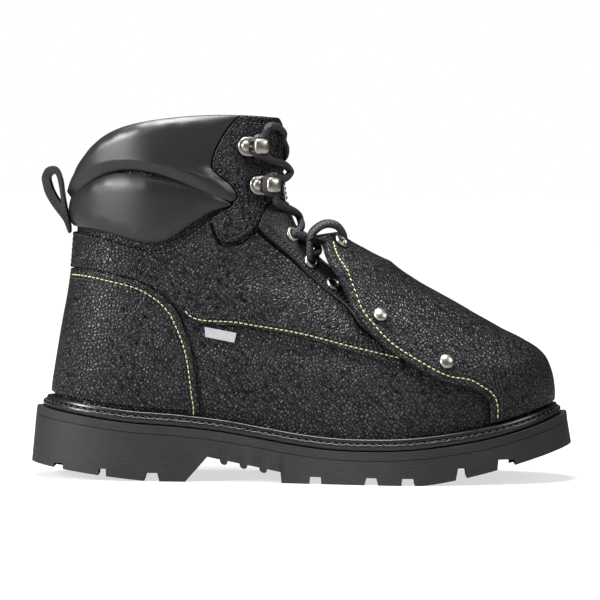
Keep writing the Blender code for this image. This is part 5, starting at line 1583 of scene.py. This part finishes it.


# Lace spots in millimetres: X to the toe, Y (lateral below zero), Z up
POST_TOP = round_post(HOOK_SPOTS[0])
POST_LOW = round_post(HOOK_SPOTS[1])
TOP_LOOP = POST_TOP[2::-1] + metres([
    (-21.5, -36.5, 200.6),
    (-17.0, -28.0, 200.8), (-13.4, -20.0, 197.6), (-13.6, -14.0, 193.4), (-12.0, -9.0, 189.0),
    (-12.2, -5.5, 184.8), (-14.0, -3.0, 182.5),
])
UPPER_CROSS = POST_TOP[3:] + metres([
    (-18.6, -30.0, 181.2), (-13.0, -17.0, 179.6),
    (-9.6, -4.0, 176.4), (-9.3, 4.0, 174.4), (-12.3, 17.0, 171.4), (-16.5, 29.0, 172.2),
]) + other(POST_LOW) + metres([
    (-16.0, 31.0, 157.6), (-11.5, 24.5, 154.8), (-6.4, 14.0, 152.2), (-4.0, 4.0, 150.0), (-3.0, -6.0, 147.0),
    (-2.4, -15.0, 144.6), (-3.6, -21.5, 142.6), (-6.6, -25.2, 140.4), (-7.6, -23.6, 138.4),
])
LOW_CROSS = metres([
    (2.6, -23.0, 124.4), (3.0, -25.2, 126.4), (5.0, -20.5, 128.0), (7.0, -12.0, 129.6), (7.6, 0.0, 131.0),
    (6.4, 12.0, 133.4), (2.6, 20.0, 136.4), (-2.6, 24.0, 139.4), (-6.2, 25.0, 141.0), (-7.4, 23.4, 139.2),
])
TIE = metres([
    (2.9, -22.8, 124.8), (2.6, -26.2, 127.0), (2.4, -26.6, 133.0), (3.4, -26.0, 139.6), (7.6, -24.4, 144.0),
    (12.6, -22.4, 145.8), (17.8, -20.4, 144.6), (21.0, -18.4, 140.8),
    (21.8, -16.8, 137.0), (21.4, -16.2, 134.6),
])
runs = [line for half in (TOP_LOOP, UPPER_CROSS, LOW_CROSS) for line in (half, other(half))]
braided("lace_run", runs, ["lace"])
braided("guard_lace", [TIE, other(TIE)], ["guard_tie"])

# Pull loop: black webbing folded over and sewn into the collar seam at the back.
LOOP_WIDTH = 0.020
LOOP_SHIFT = 0.0006
LOOP_OUTER = (
    (0.0265, 0.6080), (0.0166, 0.6463), (0.0032, 0.6746), (-0.0106, 0.7051), (-0.0216, 0.7373),
    (-0.0276, 0.7746), (-0.0279, 0.7910), (-0.0212, 0.8141), (-0.0102, 0.8237), (-0.0011, 0.8198),
    (0.0060, 0.8051), (0.0120, 0.7751), (0.0150, 0.7400), (0.0200, 0.6950), (0.0262, 0.6500),
    (0.0290, 0.6200),
)
LOOP_HOLE = (
    (0.0100, 0.7020), (0.0080, 0.7100), (0.0000, 0.7290), (-0.0074, 0.7530), (-0.0127, 0.7830),
    (-0.0085, 0.7960), (-0.0020, 0.7990), (0.0030, 0.7850), (0.0070, 0.7550), (0.0105, 0.7180),
)
WEBBING, shader = new_material("woven_webbing", 0.5)
place = add_node(WEBBING, "ShaderNodeTexCoord")
weave = add_node(
    WEBBING, "ShaderNodeTexWave", [("Vector", place, "Object")], in_Scale=330.0, in_Distortion=0.6,
    bands_direction="DIAGONAL",
)
bumped(WEBBING, shader, weave, "Fac", 0.5, 0.0004)
shader.inputs["Base Color"].default_value = linear("161617")


def closed_curve(table, count):
    """Smooth closed line in side view through a table's points."""
    spots = np.array(table) * [FOOT_LENGTH, SHAFT] + [FOOT_BACK - LOOP_SHIFT, HEEL_STACK]
    out = []
    for k in range(len(spots)):
        p0, p1, p2, p3 = (spots[(k + n) % len(spots)] for n in (-1, 0, 1, 2))
        for f in np.linspace(0, 1, count, endpoint=False):
            bend = 2 * p0 - 5 * p1 + 4 * p2 - p3 + f * (3 * (p1 - p2) + p3 - p0)
            out.append(p1 + 0.5 * f * (p2 - p0 + f * bend))
    return np.array(out)


def side_block(table, half):
    """Points and faces of a block with a table's outline in side view."""
    line = closed_curve(table, 6)
    count = len(line)
    faces = [tuple(range(count)), tuple(range(2 * count - 1, count - 1, -1))]
    faces += [(n, (n + 1) % count, count + (n + 1) % count, count + n) for n in range(count)]
    return [(x, y, z) for y in (-half, half) for x, z in line], faces


loop = finish_piece(
    "webbing_loop", *side_block(LOOP_OUTER, LOOP_WIDTH / 2), [WEBBING], ["pull_loop"], "webbing",
)
cut_away(loop, *side_block(LOOP_HOLE, LOOP_WIDTH))
rounded_copy(loop, 0.0005, 3)

# Floor and soft light of a white studio, and a long lens level with the boot.
bpy.ops.object.select_all(action="DESELECT")
bpy.ops.mesh.primitive_plane_add(size=30, location=(0, 0, 0))
floor = bpy.context.object
floor.name = "studio_floor"
FLOOR, shader = new_material("studio_floor", 0.9)
shader.inputs["Base Color"].default_value = linear("909090")
shader.inputs["Emission Color"].default_value = (1.0, 1.0, 1.0, 1.0)
seen = add_node(FLOOR, "ShaderNodeLightPath")
glow = add_node(FLOOR, "ShaderNodeMapRange", [("Value", seen, "Is Camera Ray")])
glow.inputs["To Min"].default_value = 0.1
place = add_node(FLOOR, "ShaderNodeTexCoord")
away = add_node(FLOOR, "ShaderNodeVectorMath", [(0, place, "Object")], operation="LENGTH")
paper = add_node(FLOOR, "ShaderNodeMapRange", [("Value", away, "Value")])
paper.inputs["From Min"].default_value = 0.3
paper.inputs["From Max"].default_value = 0.9
paper.inputs["To Min"].default_value = 0.66
FLOOR.node_tree.links.new(paper.outputs["Result"], glow.inputs["To Max"])
FLOOR.node_tree.links.new(glow.outputs["Result"], shader.inputs["Emission Strength"])
floor.data.materials.append(FLOOR)

world = bpy.data.worlds.new("studio")
bpy.context.scene.world = world
world.use_nodes = True
seen = add_node(world, "ShaderNodeLightPath")
strength = add_node(world, "ShaderNodeMapRange", [("Value", seen, "Is Camera Ray")])
strength.inputs["To Min"].default_value = 0.05
strength.inputs["To Max"].default_value = 1.0
sky = world.node_tree.nodes["Background"]
sky.inputs["Color"].default_value = (1.0, 1.0, 1.0, 1.0)
world.node_tree.links.new(strength.outputs["Result"], sky.inputs["Strength"])


def softbox(name, place, aim, wide, high, power):
    lamp = bpy.data.lights.new(name, "AREA")
    lamp.shape = "RECTANGLE"
    lamp.size = wide
    lamp.size_y = high
    lamp.energy = power
    item = bpy.data.objects.new(name, lamp)
    bpy.context.collection.objects.link(item)
    item.location = place
    item.rotation_euler = (Vector(aim) - Vector(place)).to_track_quat("-Z", "Y").to_euler()


softbox("top_light", (-0.1, -0.1, 0.95), (0.0, 0.0, 0.08), 0.6, 0.4, 26.0)
softbox("left_light", (-1.3, -0.85, 0.7), (-0.05, 0.0, 0.1), 0.4, 0.5, 45.0)
softbox("right_light", (1.1, -0.5, 0.9), (0.0, 0.0, 0.1), 0.4, 0.6, 8.0)
bpy.context.scene.view_settings.view_transform = "Standard"

CAMERA_AWAY = 2.0
CAMERA_HIGH = 0.185
CAMERA_AIM = 0.1017
CAMERA_ROLL = 0.56
CAMERA_LENS = 209.0
camera_data = bpy.data.cameras.new("camera")
camera = bpy.data.objects.new("camera", camera_data)
bpy.context.collection.objects.link(camera)
camera_data.sensor_width = 36.0
camera_data.lens = CAMERA_LENS
camera_data.clip_end = 60.0
middle = Vector((-0.0029 + SHIFT[0], SHIFT[1], CAMERA_AIM))
camera.location = middle + Vector((0.0, -CAMERA_AWAY, CAMERA_HIGH - CAMERA_AIM))
aim = (middle - camera.location).to_track_quat("-Z", "Y")
camera.rotation_euler = (aim @ Matrix.Rotation(math.radians(CAMERA_ROLL), 3, "Z").to_quaternion()).to_euler()
bpy.context.scene.camera = camera
